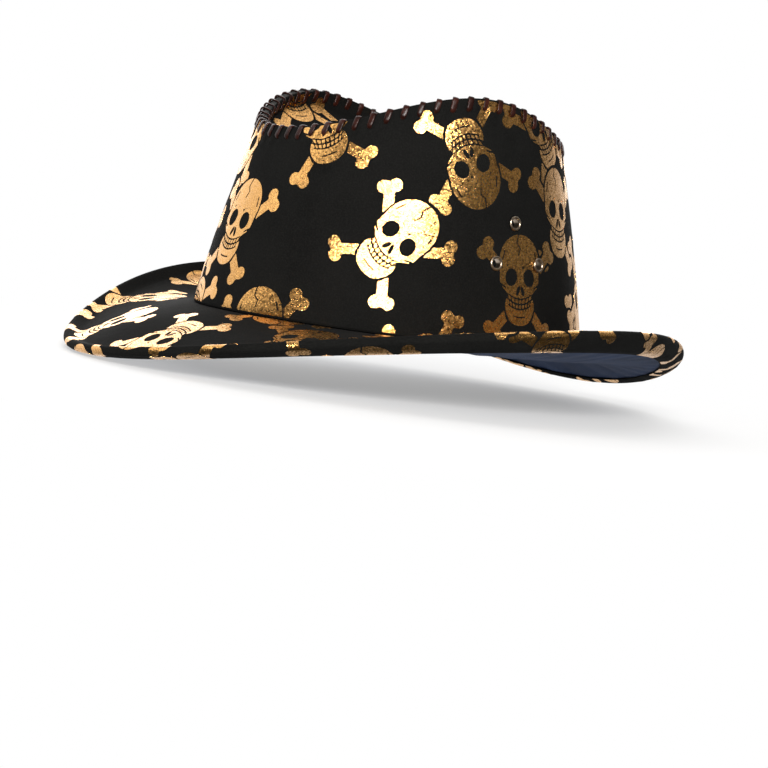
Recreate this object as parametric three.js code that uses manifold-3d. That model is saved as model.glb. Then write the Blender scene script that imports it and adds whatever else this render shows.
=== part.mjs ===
import * as THREE from "three";
import { ParametricGeometry } from "three/addons/geometries/ParametricGeometry.js";
import { mergeVertices } from "three/addons/utils/BufferGeometryUtils.js";
import Module from "manifold-3d";

// A wide-brimmed costume hat: a cloth crown with a sunk tip, laced round its top edge,
// on a foam-cored brim with a wired, turned-up edge.
// Sizes are in millimetres. The wearer faces -Y, the wearer's left is +X and up is +Z.
// The origin is the centre of the head opening, level with the seam of crown and brim.
// Angles run round the hat from the front (0) over the wearer's left (a quarter turn) to the back.

// Head opening, inside the sweatband
const HEAD_LENGTH = 192.4;
const HEAD_WIDTH = 165;

// Cloths and fillings, outside to inside
const COVER = 0.6;
const INTERLINING = 1.2;
const LINING = 0.6;
const SWEATBAND = 1.0;
const FOAM = 1.8;
const GAP = 0.3;

// Crown top edge: size over the cloth, place and heights above the seam
const TOP_LENGTH = 149.6;
const TOP_WIDTH = 148.9;
const TOP_SHIFT = -3.6;
const TOP_FRONT_HEIGHT = 89.2;
const TOP_SIDE_HEIGHT = 113.6;
const TOP_BACK_HEIGHT = 102.6;
const TOP_SWING = -3.4;
const TOP_FLATNESS = 1.8;
const WALL_BEND = 1.2;

// Sunk tip of the crown
const TIP_MARGIN = 7;
const DENT_FRONT = -44;
const DENT_BACK = 42;
const DENT_HEIGHT = 76;
const DENT_BEND = 1.8;

// Lace round the crown's top edge
const LACE = 1.1;
const LACE_REACH = 6;

// Brim outline over its edge, place and heights of the edge above the seam, and how far
// wear has leaned, twisted and curled the wearer's left side against the right
const BRIM_LENGTH = 318;
const BRIM_WIDTH = 296;
const BRIM_SHIFT = -5.2;
const BRIM_TAPER = 0.03;
const BRIM_FRONT_HEIGHT = -24.5;
const BRIM_SIDE_HEIGHT = 16.3;
const BRIM_BACK_HEIGHT = -14.3;
const BRIM_SWING = 1.8;
const BRIM_LEAN = 2.2;
const BRIM_TWIST = -1.6;
const BRIM_CURL = 3.8;
const BRIM_BEND = 1.5;

// Turned-up lip, hem and seam allowance of the brim
const LIP_WIDTH = 4;
const LIP_TURN = 40;
const LIP_RADIUS = 4;
const HEM_REACH = 2.5;
const ALLOWANCE = 8;

// Edge wire and the sleeve that joins its ends
const WIRE = 1.4;
const WIRE_END_GAP = 1;
const SLEEVE_WALL = 0.35;
const SLEEVE_LENGTH = 14;

// Sweatband, the tape over its joint, and the seam thread
const SWEATBAND_HEIGHT = 26;
const SWEATBAND_END_GAP = 1;
const TAPE = 0.5;
const TAPE_WIDTH = 14;
const TAPE_FOOT = 5;
const TAPE_TOP = 24;
const THREAD = 0.6;
const THREAD_HEIGHT = 2;

// Eyelets, three in each side of the crown: how far behind the origin and how high
const EYELET_HOLE = 4.5;
const EYELET_FLANGE = 7;
const EYELET_WALL = 0.35;
const EYELET_SEAT = 0.45;
const EYELET_PLACES = [
  { name: "front", behind: -4.3, height: 39.2 },
  { name: "top", behind: 5.4, height: 58.7 },
  { name: "back", behind: 23.1, height: 40.7 },
];

// Fineness of the faceted solids
const SLICES = 40;
const ROUND_SIDES = 12;
const ANGLE_STEP = 0.01;
const HEIGHT_STEP = 0.5;

// Insets from the outer face of the crown wall, and depths below the top face of the brim
const WALL_LINING_INSET = COVER + GAP;
const WALL_INSIDE = WALL_LINING_INSET + INTERLINING;
const COVER_FLANGE_INSET = WALL_INSIDE + GAP;
const LINING_FLANGE_INSET = COVER_FLANGE_INSET + COVER + GAP;
const SWEATBAND_INSET = LINING_FLANGE_INSET + LINING + GAP;
const HEAD_INSET = SWEATBAND_INSET + SWEATBAND;
const TIP_INSET = WALL_INSIDE + GAP + INTERLINING + GAP + COVER;
const FOAM_DEPTH = COVER + GAP;
const LINING_DEPTH = FOAM_DEPTH + FOAM + GAP;
const UNDERSIDE = LINING_DEPTH + LINING;
const HEM_DEPTH = UNDERSIDE + GAP;
const EDGE_THICKNESS = HEM_DEPTH + COVER;

const wasm = await Module();
wasm.setup();

const FULL_TURN = 2 * Math.PI;
const BACK = new THREE.Vector3(0, 1, 0);
const hat = new THREE.Group();

// A geometry with shared corners and no leftover attributes.
function welded(geometry) {
  const bare = geometry.clone();
  bare.deleteAttribute("normal");
  bare.deleteAttribute("uv");
  return mergeVertices(bare, 1e-4);
}

function toSolid(geometry) {
  const shell = welded(geometry);
  const triVerts = new Uint32Array(shell.index.array);
  const vertProperties = shell.attributes.position.array;
  return new wasm.Manifold(new wasm.Mesh({ numProp: 3, vertProperties, triVerts }));
}

function toGeometry(solid) {
  const mesh = solid.getMesh();
  const geometry = new THREE.BufferGeometry();
  geometry.setAttribute("position", new THREE.BufferAttribute(mesh.vertProperties, 3));
  geometry.setIndex(new THREE.BufferAttribute(mesh.triVerts, 1));
  return geometry;
}

function addPiece(name, geometry, material) {
  const shell = welded(geometry);
  shell.computeVertexNormals();
  const piece = new THREE.Mesh(shell, material);
  piece.name = name;
  hat.add(piece);
  return piece;
}

function finish(color, roughness, metalness = 0) {
  return new THREE.MeshStandardMaterial({ color, roughness, metalness });
}

const blackCloth = finish(0x1b1b1c, 0.85);
const fleece = finish(0xc9c5bb, 0.9);
const paleFoam = finish(0xb9b9b4, 0.95);
const navyCloth = finish(0x25324a, 0.8);
const blackTape = finish(0x222226, 0.7);
const brownLace = finish(0x3a1c14, 0.3);
const springSteel = finish(0x8c8f92, 0.35, 1);
const blackThread = finish(0x17171a, 0.6);
const brass = finish(0xb79a5c, 0.3, 1);

// Splits each four-cornered patch along its shorter diagonal, so that faces that lie
// close together and follow the same shape split alike and never cross.
function splitAlike(geometry) {
  const corner = (index) => new THREE.Vector3().fromBufferAttribute(geometry.attributes.position, index);
  const old = geometry.index.array;
  const index = [];
  for (let start = 0; start < old.length; start += 6) {
    const [a, b, d, , c] = old.slice(start, start + 5);
    const near = corner(a).distanceTo(corner(c)) < corner(b).distanceTo(corner(d));
    index.push(...(near ? [a, b, c, a, c, d] : [a, b, d, b, c, d]));
  }
  geometry.setIndex(index);
  return geometry;
}

// A solid of loops: the loop of points at each angle, carried once round the hat.
// A closed loop makes a ring, and an open one starts and ends where opposite sides meet.
function carryRound(loopAt, closed = true) {
  const loops = Array.from({ length: SLICES }, (_, i) => loopAt((FULL_TURN * i) / SLICES));
  const count = loops[0].length;
  const stacks = closed ? count : count - 1;
  const place = (u, v, target) => {
    const loop = loops[Math.round(u * SLICES) % SLICES];
    target.copy(loop[Math.round(v * stacks) % count]);
  };
  return splitAlike(new ParametricGeometry(place, SLICES, stacks));
}

// Crown wall: an oval at the seam drawn in and up to the saddle-shaped top edge.
const BASE_LENGTH = HEAD_LENGTH + 2 * HEAD_INSET;
const BASE_WIDTH = HEAD_WIDTH + 2 * HEAD_INSET;

function topHeight(angle) {
  const ends = (TOP_FRONT_HEIGHT + TOP_BACK_HEIGHT) / 2;
  const lean = (TOP_FRONT_HEIGHT - TOP_BACK_HEIGHT) / 2;
  const first = (lean - TOP_SWING) * Math.cos(angle);
  const second = ((ends - TOP_SIDE_HEIGHT) / 2) * Math.cos(2 * angle);
  const middle = (ends + TOP_SIDE_HEIGHT) / 2 - TOP_FLATNESS;
  const third = TOP_SWING * Math.cos(3 * angle);
  return middle + first + second + third + TOP_FLATNESS * Math.cos(4 * angle);
}

function wallSurface(angle, height) {
  const across = Math.sin(angle);
  const along = -Math.cos(angle);
  const drawn = Math.max(height / topHeight(angle), 0) ** WALL_BEND;
  const seam = new THREE.Vector3((BASE_WIDTH / 2) * across, (BASE_LENGTH / 2) * along, 0);
  const top = new THREE.Vector3((TOP_WIDTH / 2) * across, TOP_SHIFT + (TOP_LENGTH / 2) * along, 0);
  return seam.lerp(top, drawn).setZ(height);
}

function wallNormal(angle, height) {
  const round = wallSurface(angle + ANGLE_STEP, height).sub(wallSurface(angle - ANGLE_STEP, height));
  const up = wallSurface(angle, height + HEIGHT_STEP).sub(wallSurface(angle, height - HEIGHT_STEP));
  return round.cross(up).normalize();
}

function wallPoint(angle, height, inset) {
  return wallSurface(angle, height).addScaledVector(wallNormal(angle, height), -inset);
}

// One layer that follows the wall between two insets, through the heights given.
function wallLayer(heightsAt, outer, inner) {
  return carryRound((angle) => {
    const heights = heightsAt(angle);
    const outside = heights.map((height) => wallPoint(angle, height, outer));
    const inside = heights.map((height) => wallPoint(angle, height, inner));
    return [...outside, ...inside.reverse()];
  });
}

function crownHeights(angle) {
  const shares = [0, 0.12, 0.35, 0.6, 0.82, 1];
  return shares.map((share) => GAP + (topHeight(angle) - GAP) * share);
}

// Tip: a margin that stands against the wall, then a dish that sinks to a line along the crown.
function tipLayer(near, far) {
  const dishShares = [0, 0.3, 0.6, 0.85];
  return carryRound((angle) => {
    const halfDent = (DENT_BACK - DENT_FRONT) / 2;
    const middle = (DENT_BACK + DENT_FRONT) / 2;
    const dent = new THREE.Vector3(0, middle - halfDent * Math.cos(angle), DENT_HEIGHT);
    const foot = topHeight(angle) - TIP_MARGIN;
    const face = (depth) => {
      const corner = wallPoint(angle, foot, TIP_INSET - depth);
      const rim = wallPoint(angle, topHeight(angle), TIP_INSET - depth);
      const dish = dishShares.map((share) => {
        const point = dent.clone().lerp(corner, share);
        point.z = DENT_HEIGHT + (corner.z - DENT_HEIGHT) * share ** DENT_BEND - depth;
        return point;
      });
      return [...dish, corner.setZ(corner.z - depth), rim];
    };
    return [...face(far), ...face(near).reverse()];
  }, false);
}

// Brim: a curved sheet from the seam to a fold, then a lip that turns up round the wired edge.
function edgePoint(angle) {
  const across = Math.sin(angle);
  const along = -Math.cos(angle);
  const tapered = 1 - BRIM_TAPER * Math.sin(2 * angle) ** 2;
  const ends = (BRIM_FRONT_HEIGHT + BRIM_BACK_HEIGHT) / 2;
  const lean = (BRIM_FRONT_HEIGHT - BRIM_BACK_HEIGHT) / 2;
  const level = (ends + BRIM_SIDE_HEIGHT) / 2;
  const saddle = (ends - BRIM_SIDE_HEIGHT) / 2;
  const evenWaves = [level, lean - BRIM_SWING, saddle, BRIM_SWING];
  const oddWaves = [0, BRIM_LEAN, BRIM_TWIST, BRIM_CURL];
  const even = evenWaves.reduce((sum, wave, turns) => sum + wave * Math.cos(turns * angle), 0);
  const height = oddWaves.reduce((sum, wave, turns) => sum + wave * Math.sin(turns * angle), even);
  const x = (BRIM_WIDTH / 2) * across * tapered;
  const y = BRIM_SHIFT + (BRIM_LENGTH / 2) * along * tapered;
  return new THREE.Vector3(x, y, height);
}

// The brim's profile at an angle: where the fold starts, and the slopes before and after it.
function brimProfile(angle) {
  const seam = wallSurface(angle, 0);
  const edge = edgePoint(angle);
  const outward = edge.clone().sub(seam).setZ(0);
  const span = outward.length();
  const half = EDGE_THICKNESS / 2;
  const turn = THREE.MathUtils.degToRad(LIP_TURN);
  let fold = { out: span, up: edge.z };
  let slope = 0;
  for (let round = 0; round < 12; round += 1) {
    slope = Math.atan((BRIM_BEND * fold.up) / fold.out);
    const raised = slope + turn;
    const run = (half + LIP_WIDTH) * Math.cos(raised) + half * Math.sin(raised);
    const rise = (half + LIP_WIDTH) * Math.sin(raised) - half * Math.cos(raised);
    const out = span - run - LIP_RADIUS * (Math.sin(raised) - Math.sin(slope));
    const up = edge.z - rise - LIP_RADIUS * (Math.cos(slope) - Math.cos(raised));
    fold = { out, up };
  }
  return { seam, outward: outward.normalize(), fold, slope, raised: slope + turn };
}

// A point on the brim, set down by a depth square to the sheet.
function brimPoint(profile, out, up, slope, depth, beyond = 0) {
  const across = out + depth * Math.sin(slope) + beyond * Math.cos(slope);
  const point = profile.seam.clone().addScaledVector(profile.outward, across);
  return point.setZ(up - depth * Math.cos(slope) + beyond * Math.sin(slope));
}

function sheetPoint(profile, share, depth) {
  const { out, up } = profile.fold;
  const slope = Math.atan(((BRIM_BEND * up) / out) * share ** (BRIM_BEND - 1));
  return brimPoint(profile, out * share, up * share ** BRIM_BEND, slope, depth);
}

function foldPoint(profile, share, depth, beyond = 0) {
  const slope = profile.slope + (profile.raised - profile.slope) * share;
  const out = profile.fold.out + LIP_RADIUS * (Math.sin(slope) - Math.sin(profile.slope));
  const up = profile.fold.up + LIP_RADIUS * (Math.cos(profile.slope) - Math.cos(slope));
  return brimPoint(profile, out, up, slope, depth, beyond);
}

// The centre of the rolled edge, where the wire runs.
function wireCentre(profile) {
  return foldPoint(profile, 1, EDGE_THICKNESS / 2, LIP_WIDTH);
}

function sheetShares(profile) {
  return [0, 0.4, 0.75, 1 - HEM_REACH / profile.fold.out];
}

function brimCover() {
  return carryRound((angle) => {
    const profile = brimProfile(angle);
    const centre = wireCentre(profile);
    const bend = [0, 0.5, 1];
    const top = (depth) => [
      ...sheetShares(profile).map((share) => sheetPoint(profile, share, depth)),
      ...bend.map((share) => foldPoint(profile, share, depth)),
      foldPoint(profile, 1, depth, LIP_WIDTH),
    ];
    const roll = (radius) =>
      [0.25, 0.5, 0.75].map((share) => {
        const turned = profile.raised + Math.PI * (0.5 - share);
        const point = centre.clone().addScaledVector(profile.outward, radius * Math.cos(turned));
        return point.setZ(centre.z + radius * Math.sin(turned));
      });
    const hem = (depth) => [
      foldPoint(profile, 1, depth, LIP_WIDTH),
      ...bend.map((share) => foldPoint(profile, 1 - share, depth)),
      sheetPoint(profile, 1 - HEM_REACH / profile.fold.out, depth),
    ];
    const outside = [...top(0), ...roll(EDGE_THICKNESS / 2), ...hem(EDGE_THICKNESS)];
    const inside = [...top(COVER), ...roll(EDGE_THICKNESS / 2 - COVER), ...hem(HEM_DEPTH)];
    const flange = [
      wallPoint(angle, -COVER, COVER_FLANGE_INSET + COVER),
      wallPoint(angle, 0, COVER_FLANGE_INSET + COVER),
      wallPoint(angle, ALLOWANCE, COVER_FLANGE_INSET + COVER),
      wallPoint(angle, ALLOWANCE, COVER_FLANGE_INSET),
      wallPoint(angle, 0, COVER_FLANGE_INSET),
    ];
    return [...outside, ...inside.reverse(), ...flange].reverse();
  });
}

function brimFoam() {
  return carryRound((angle) => {
    const profile = brimProfile(angle);
    const face = (depth) => [
      wallPoint(angle, -depth, COVER_FLANGE_INSET + GAP),
      ...sheetShares(profile).map((share) => sheetPoint(profile, share, depth)),
      ...[0, 0.5, 1].map((share) => foldPoint(profile, share, depth)),
      foldPoint(profile, 1, depth, LIP_WIDTH - WIRE / 2 - SLEEVE_WALL - 2 * GAP),
    ];
    return [...face(FOAM_DEPTH + FOAM), ...face(FOAM_DEPTH).reverse()];
  });
}

function brimLining() {
  return carryRound((angle) => {
    const profile = brimProfile(angle);
    const shares = [...sheetShares(profile), 1];
    const face = (depth, inset) => [
      wallPoint(angle, ALLOWANCE, inset),
      wallPoint(angle, 0, inset),
      wallPoint(angle, -depth, inset),
      ...shares.map((share) => sheetPoint(profile, share, depth)),
    ];
    const under = face(UNDERSIDE, LINING_FLANGE_INSET + LINING);
    const over = face(LINING_DEPTH, LINING_FLANGE_INSET);
    return [...under, ...over.reverse()];
  });
}

// A rod of a given radius along the brim's edge.
function edgeRod(radius, sides) {
  return carryRound((angle) => {
    const profile = brimProfile(angle);
    const centre = wireCentre(profile);
    return Array.from({ length: sides }, (_, i) => {
      const turned = (FULL_TURN * i) / sides;
      const point = centre.clone().addScaledVector(profile.outward, radius * Math.cos(turned));
      return point.setZ(centre.z + radius * Math.sin(turned));
    });
  });
}

// A block behind the origin, as wide as given, that takes in the whole back of the hat.
function backBlock(width) {
  const reach = BRIM_LENGTH;
  const block = new THREE.BoxGeometry(width, reach, reach);
  return toSolid(block.translate(0, reach / 2, 0));
}

// A band that lies inside the head opening, through the heights given.
function innerBand(heights, inset, thickness) {
  return wallLayer(() => heights, inset, inset + thickness);
}

// Eyelets
function angleAt(behind, height) {
  let low = 0;
  let high = Math.PI;
  for (let round = 0; round < 40; round += 1) {
    const middle = (low + high) / 2;
    if (wallSurface(middle, height).y < behind) low = middle;
    else high = middle;
  }
  return (low + high) / 2;
}

const BARREL_RADIUS = EYELET_HOLE / 2 + EYELET_WALL;

const eyeletSeats = EYELET_PLACES.flatMap(({ name, behind, height }) =>
  ["left", "right"].map((side) => {
    const toLeft = angleAt(behind, height);
    const angle = side === "left" ? toLeft : FULL_TURN - toLeft;
    const axis = wallNormal(angle, height);
    const turn = new THREE.Quaternion().setFromUnitVectors(BACK, axis);
    return { name: `eyelet_${side}_${name}`, place: wallSurface(angle, height), turn };
  }),
);

// Section of a one-piece eyelet about its axis: domed flange, barrel and curled rear.
function eyeletGeometry() {
  const hole = EYELET_HOLE / 2;
  const flange = EYELET_FLANGE / 2;
  const front = EYELET_SEAT;
  const rear = -(WALL_INSIDE + EYELET_SEAT);
  const profile = [
    [hole, front + EYELET_WALL],
    [hole, rear - EYELET_WALL],
    [flange - EYELET_WALL, rear - EYELET_WALL],
    [flange - EYELET_WALL, rear],
    [BARREL_RADIUS, rear],
    [BARREL_RADIUS, front],
    [flange, front],
    [(hole + flange) / 2, front + 2 * EYELET_WALL],
  ].map(([radius, along]) => new THREE.Vector2(radius, along));
  return new THREE.LatheGeometry([...profile, profile[0]], ROUND_SIDES);
}

function pierced(geometry) {
  const drill = new THREE.CylinderGeometry(
    BARREL_RADIUS + GAP,
    BARREL_RADIUS + GAP,
    2 * (WALL_INSIDE + EYELET_FLANGE),
    ROUND_SIDES,
  );
  const holes = eyeletSeats.map(({ place, turn }) => {
    const hole = drill.clone().applyQuaternion(turn);
    return toSolid(hole.translate(place.x, place.y, place.z));
  });
  return toGeometry(holes.reduce((solid, hole) => solid.subtract(hole), toSolid(geometry)));
}

// Crown
addPiece("crown_side_cover", pierced(wallLayer(crownHeights, 0, COVER)), blackCloth);
const sideStiffener = wallLayer(crownHeights, WALL_LINING_INSET, WALL_INSIDE);
addPiece("crown_side_interlining", pierced(sideStiffener), fleece);
addPiece("crown_tip_cover", tipLayer(0, COVER), blackCloth);
addPiece("crown_tip_interlining", tipLayer(COVER + GAP, COVER + GAP + INTERLINING), fleece);

// The lace is a channel over the edge, clear of the cloth on both sides.
const laceChannel = carryRound((angle) => {
  const top = topHeight(angle);
  return [
    wallPoint(angle, top - LACE_REACH, -GAP - LACE),
    wallPoint(angle, top + GAP + LACE, -GAP - LACE),
    wallPoint(angle, top + GAP + LACE, TIP_INSET + GAP + LACE),
    wallPoint(angle, top - LACE_REACH, TIP_INSET + GAP + LACE),
    wallPoint(angle, top - LACE_REACH, TIP_INSET + GAP),
    wallPoint(angle, top + GAP, TIP_INSET + GAP),
    wallPoint(angle, top + GAP, -GAP),
    wallPoint(angle, top - LACE_REACH, -GAP),
  ];
});
addPiece("crown_lace", laceChannel, brownLace);

for (const { name, place, turn } of eyeletSeats) {
  const eyelet = addPiece(name, eyeletGeometry(), brass);
  eyelet.position.copy(place);
  eyelet.quaternion.copy(turn);
}

// Brim
addPiece("brim_cover", brimCover(), blackCloth);
addPiece("brim_foam", brimFoam(), paleFoam);
addPiece("brim_lining", brimLining(), navyCloth);

const wireRing = toSolid(edgeRod(WIRE / 2, 6)).subtract(backBlock(WIRE_END_GAP));
addPiece("brim_wire", toGeometry(wireRing), springSteel);
const sleeveBore = toSolid(edgeRod(WIRE / 2 + GAP, ROUND_SIDES));
const sleeveRing = toSolid(edgeRod(WIRE / 2 + GAP + SLEEVE_WALL, ROUND_SIDES));
const sleeve = sleeveRing.subtract(sleeveBore).intersect(backBlock(SLEEVE_LENGTH));
addPiece("wire_sleeve", toGeometry(sleeve), springSteel);

// Inside the head opening
const bandHeights = [-UNDERSIDE, 0, ALLOWANCE, (ALLOWANCE + SWEATBAND_HEIGHT) / 2, SWEATBAND_HEIGHT];
const bandRing = toSolid(innerBand(bandHeights, SWEATBAND_INSET, SWEATBAND));
const openBand = bandRing.subtract(backBlock(SWEATBAND_END_GAP));
addPiece("sweatband", toGeometry(openBand), blackTape);
const tapeHeights = [TAPE_FOOT, ALLOWANCE, (TAPE_FOOT + TAPE_TOP) / 2, TAPE_TOP];
const tapeRing = toSolid(innerBand(tapeHeights, HEAD_INSET + GAP, TAPE));
const tape = tapeRing.intersect(backBlock(TAPE_WIDTH));
addPiece("sweatband_joint_tape", toGeometry(tape), blackTape);
const seamThread = carryRound((angle) => {
  const near = HEAD_INSET + GAP;
  return [
    wallPoint(angle, THREAD_HEIGHT, near),
    wallPoint(angle, THREAD_HEIGHT + THREAD, near),
    wallPoint(angle, THREAD_HEIGHT + THREAD, near + THREAD),
    wallPoint(angle, THREAD_HEIGHT, near + THREAD),
  ];
});
addPiece("seam_thread", seamThread, blackThread);

export default hat;
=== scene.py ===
import math

import bmesh
import bpy
import numpy as np
from mathutils import Matrix, Vector
from mathutils.geometry import delaunay_2d_cdt


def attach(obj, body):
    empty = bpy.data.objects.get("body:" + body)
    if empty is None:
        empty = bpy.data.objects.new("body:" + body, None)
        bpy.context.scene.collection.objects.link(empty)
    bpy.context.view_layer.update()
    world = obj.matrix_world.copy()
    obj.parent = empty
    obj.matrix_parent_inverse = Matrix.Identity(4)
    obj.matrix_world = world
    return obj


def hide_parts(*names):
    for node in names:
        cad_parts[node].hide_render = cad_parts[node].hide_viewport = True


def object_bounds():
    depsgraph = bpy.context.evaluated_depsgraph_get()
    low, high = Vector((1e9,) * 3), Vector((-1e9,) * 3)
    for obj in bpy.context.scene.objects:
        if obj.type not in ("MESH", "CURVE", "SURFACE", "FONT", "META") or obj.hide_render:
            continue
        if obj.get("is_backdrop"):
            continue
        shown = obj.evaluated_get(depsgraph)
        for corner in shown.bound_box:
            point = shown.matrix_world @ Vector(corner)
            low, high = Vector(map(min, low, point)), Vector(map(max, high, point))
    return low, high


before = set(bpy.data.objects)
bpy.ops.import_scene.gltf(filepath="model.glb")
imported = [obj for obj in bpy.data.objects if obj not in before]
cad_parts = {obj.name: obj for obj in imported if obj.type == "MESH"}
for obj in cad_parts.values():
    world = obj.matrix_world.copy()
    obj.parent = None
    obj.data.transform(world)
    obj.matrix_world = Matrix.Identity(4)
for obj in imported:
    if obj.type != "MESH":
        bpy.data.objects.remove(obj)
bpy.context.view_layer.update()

bl_info = {
    "name": "Laced Cloth Costume Hat",
    "version": (1, 0, 0),
    "blender": (4, 5, 0),
    "location": "View3D > Sidebar > Costume Hat",
    "description": "Builds a foil-printed cloth hat with a laced crown and a wired brim",
    "category": "Add Mesh",
}

MM = 0.001
FULL_TURN = 2 * math.pi

# The three eyelets of each side: name, place behind the origin and height above the seam.
EYELETS = (
    ("front", -4.3 * MM, 39.2 * MM),
    ("top", 5.4 * MM, 58.7 * MM),
    ("back", 23.1 * MM, 40.7 * MM),
)
EYELET_WALL = 0.35 * MM
EYELET_SEAT = 0.45 * MM
EYELET_DOME = 0.75 * MM
EYELET_ROUNDING = 0.05 * MM

# Relief of the worn cloth: how high each feature stands or how deep it lies.
WALL_WAVES = 0.28 * MM
WALL_TUCKS = 0.3 * MM
WALL_SEAM = 0.5 * MM
WALL_FOOT = 0.45 * MM
WALL_EDGE = 0.25 * MM
TIP_WAVES = 0.5 * MM
BRIM_WAVES = 0.22 * MM
BRIM_PINCH = 0.3 * MM
LINING_PUCKERS = (0.55 * MM, 0.25 * MM)

# The lace's bends, its play round the cloth and how unevenly the stitches were pulled.
LACE_BEND = 1.2 * MM
LACE_PLAY = 0.25 * MM
LACE_UNEVEN = (0.35 * MM, 0.25 * MM)

# Parts in the brim's edge and at the back of the sweatband.
END_GAP = 0.5 * MM
SLEEVE_REACH = 7 * MM
SLEEVE_WALL = 0.35 * MM
JOINT_TAPE_REACH = 7 * MM
JOINT_TAPE_HEIGHTS = (5 * MM, 24 * MM)
JOINT_TAPE_THICKNESS = 0.5 * MM
STITCH_LENGTH = 3.2 * MM
STITCH_HEIGHT = 2.3 * MM
THREAD_RADII = (0.1 * MM, 0.3 * MM)

# Finishes: how far the foil's flakes tilt, how close the lining's weave and the twill's
# ribs run, and how the ribs slant.
FLAKE_TILT = 0.34
LINING_WEAVE = 640.0
TWILL_RIBS = 240.0
TWILL_SLANT = math.radians(62)

# The stage: each lamp's azimuth and elevation in degrees, distance and size in metres,
# power in watts and colour; the camera's view and lens; the sky's bright side and its ramp;
# the distances at which the floor starts to fade and is gone.
LAMPS = {
    "Key": ((56, 16), 1.3, (0.4, 0.3), 24.0, (1, 0.98, 0.95)),
    "Front left": ((-22, 30), 1.6, (0.5, 0.9), 3.4, (1, 1, 1)),
    "Side": ((138, 22), 1.6, (0.4, 0.7), 0.5, (1, 0.95, 0.88)),
    "Back": ((238, 16), 1.6, (1.5, 0.6), 9.0, (1, 1, 1)),
    "Above": ((200, 75), 1.5, (1.0, 1.0), 3.5, (1, 1, 1)),
}
LAMPS_AIM = 50 * MM
CAMERA_VIEW = {"azimuth": 54.67, "elevation": 4.36, "roll": 7.98, "shift": (2.63, -28.95, 1050.0)}
CAMERA_LENS = 98.4375
SKY_BRIGHT_WAY = (-0.93, 0.2, 0.3)
SKY_RAMP = {"From Min": 0.12, "From Max": 0.95, "To Min": 0.03, "To Max": 1.4}
FLOOR_FADE = (0.1, 0.34)
FLOOR_GLOW = 0.35

# The print: the spacing of its outline's points, the foil's two faces above the cloth, the
# clear cloth round another motif, an eyelet and each border, and the skull as drawn.
PATTERN_STEP = 0.42 * MM
FILM = (0.045 * MM, 0.115 * MM)
CLEAR_MOTIF = 1.3 * MM
CLEAR_EYELET = 3.2 * MM
CLEAR_SEAM = 1.3 * MM
CLEAR_BRIM_SEAM = 1.2 * MM
CLEAR_EDGE = 0.9 * MM
CLEAR_HEM = 0.5 * MM
MARGIN_PRINTED = 0.85
DRAWN_SKULL = 50
DRAWN_REACH = 35


# ---------------------------------------------------------------- sizes and colours


def length(name, description, millimetres):
    """A size of the hat, written in millimetres and held in metres."""
    return bpy.props.FloatProperty(
        name=name, description=description, default=millimetres * MM, unit="LENGTH", precision=5
    )


def share(name, description, value):
    """A plain number, such as a power or a share of a size."""
    return bpy.props.FloatProperty(name=name, description=description, default=value)


def colour(name, description, value):
    """A colour with its alpha."""
    return bpy.props.FloatVectorProperty(
        name=name, description=description, default=value, size=4, subtype="COLOR", min=0, max=1
    )


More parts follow.
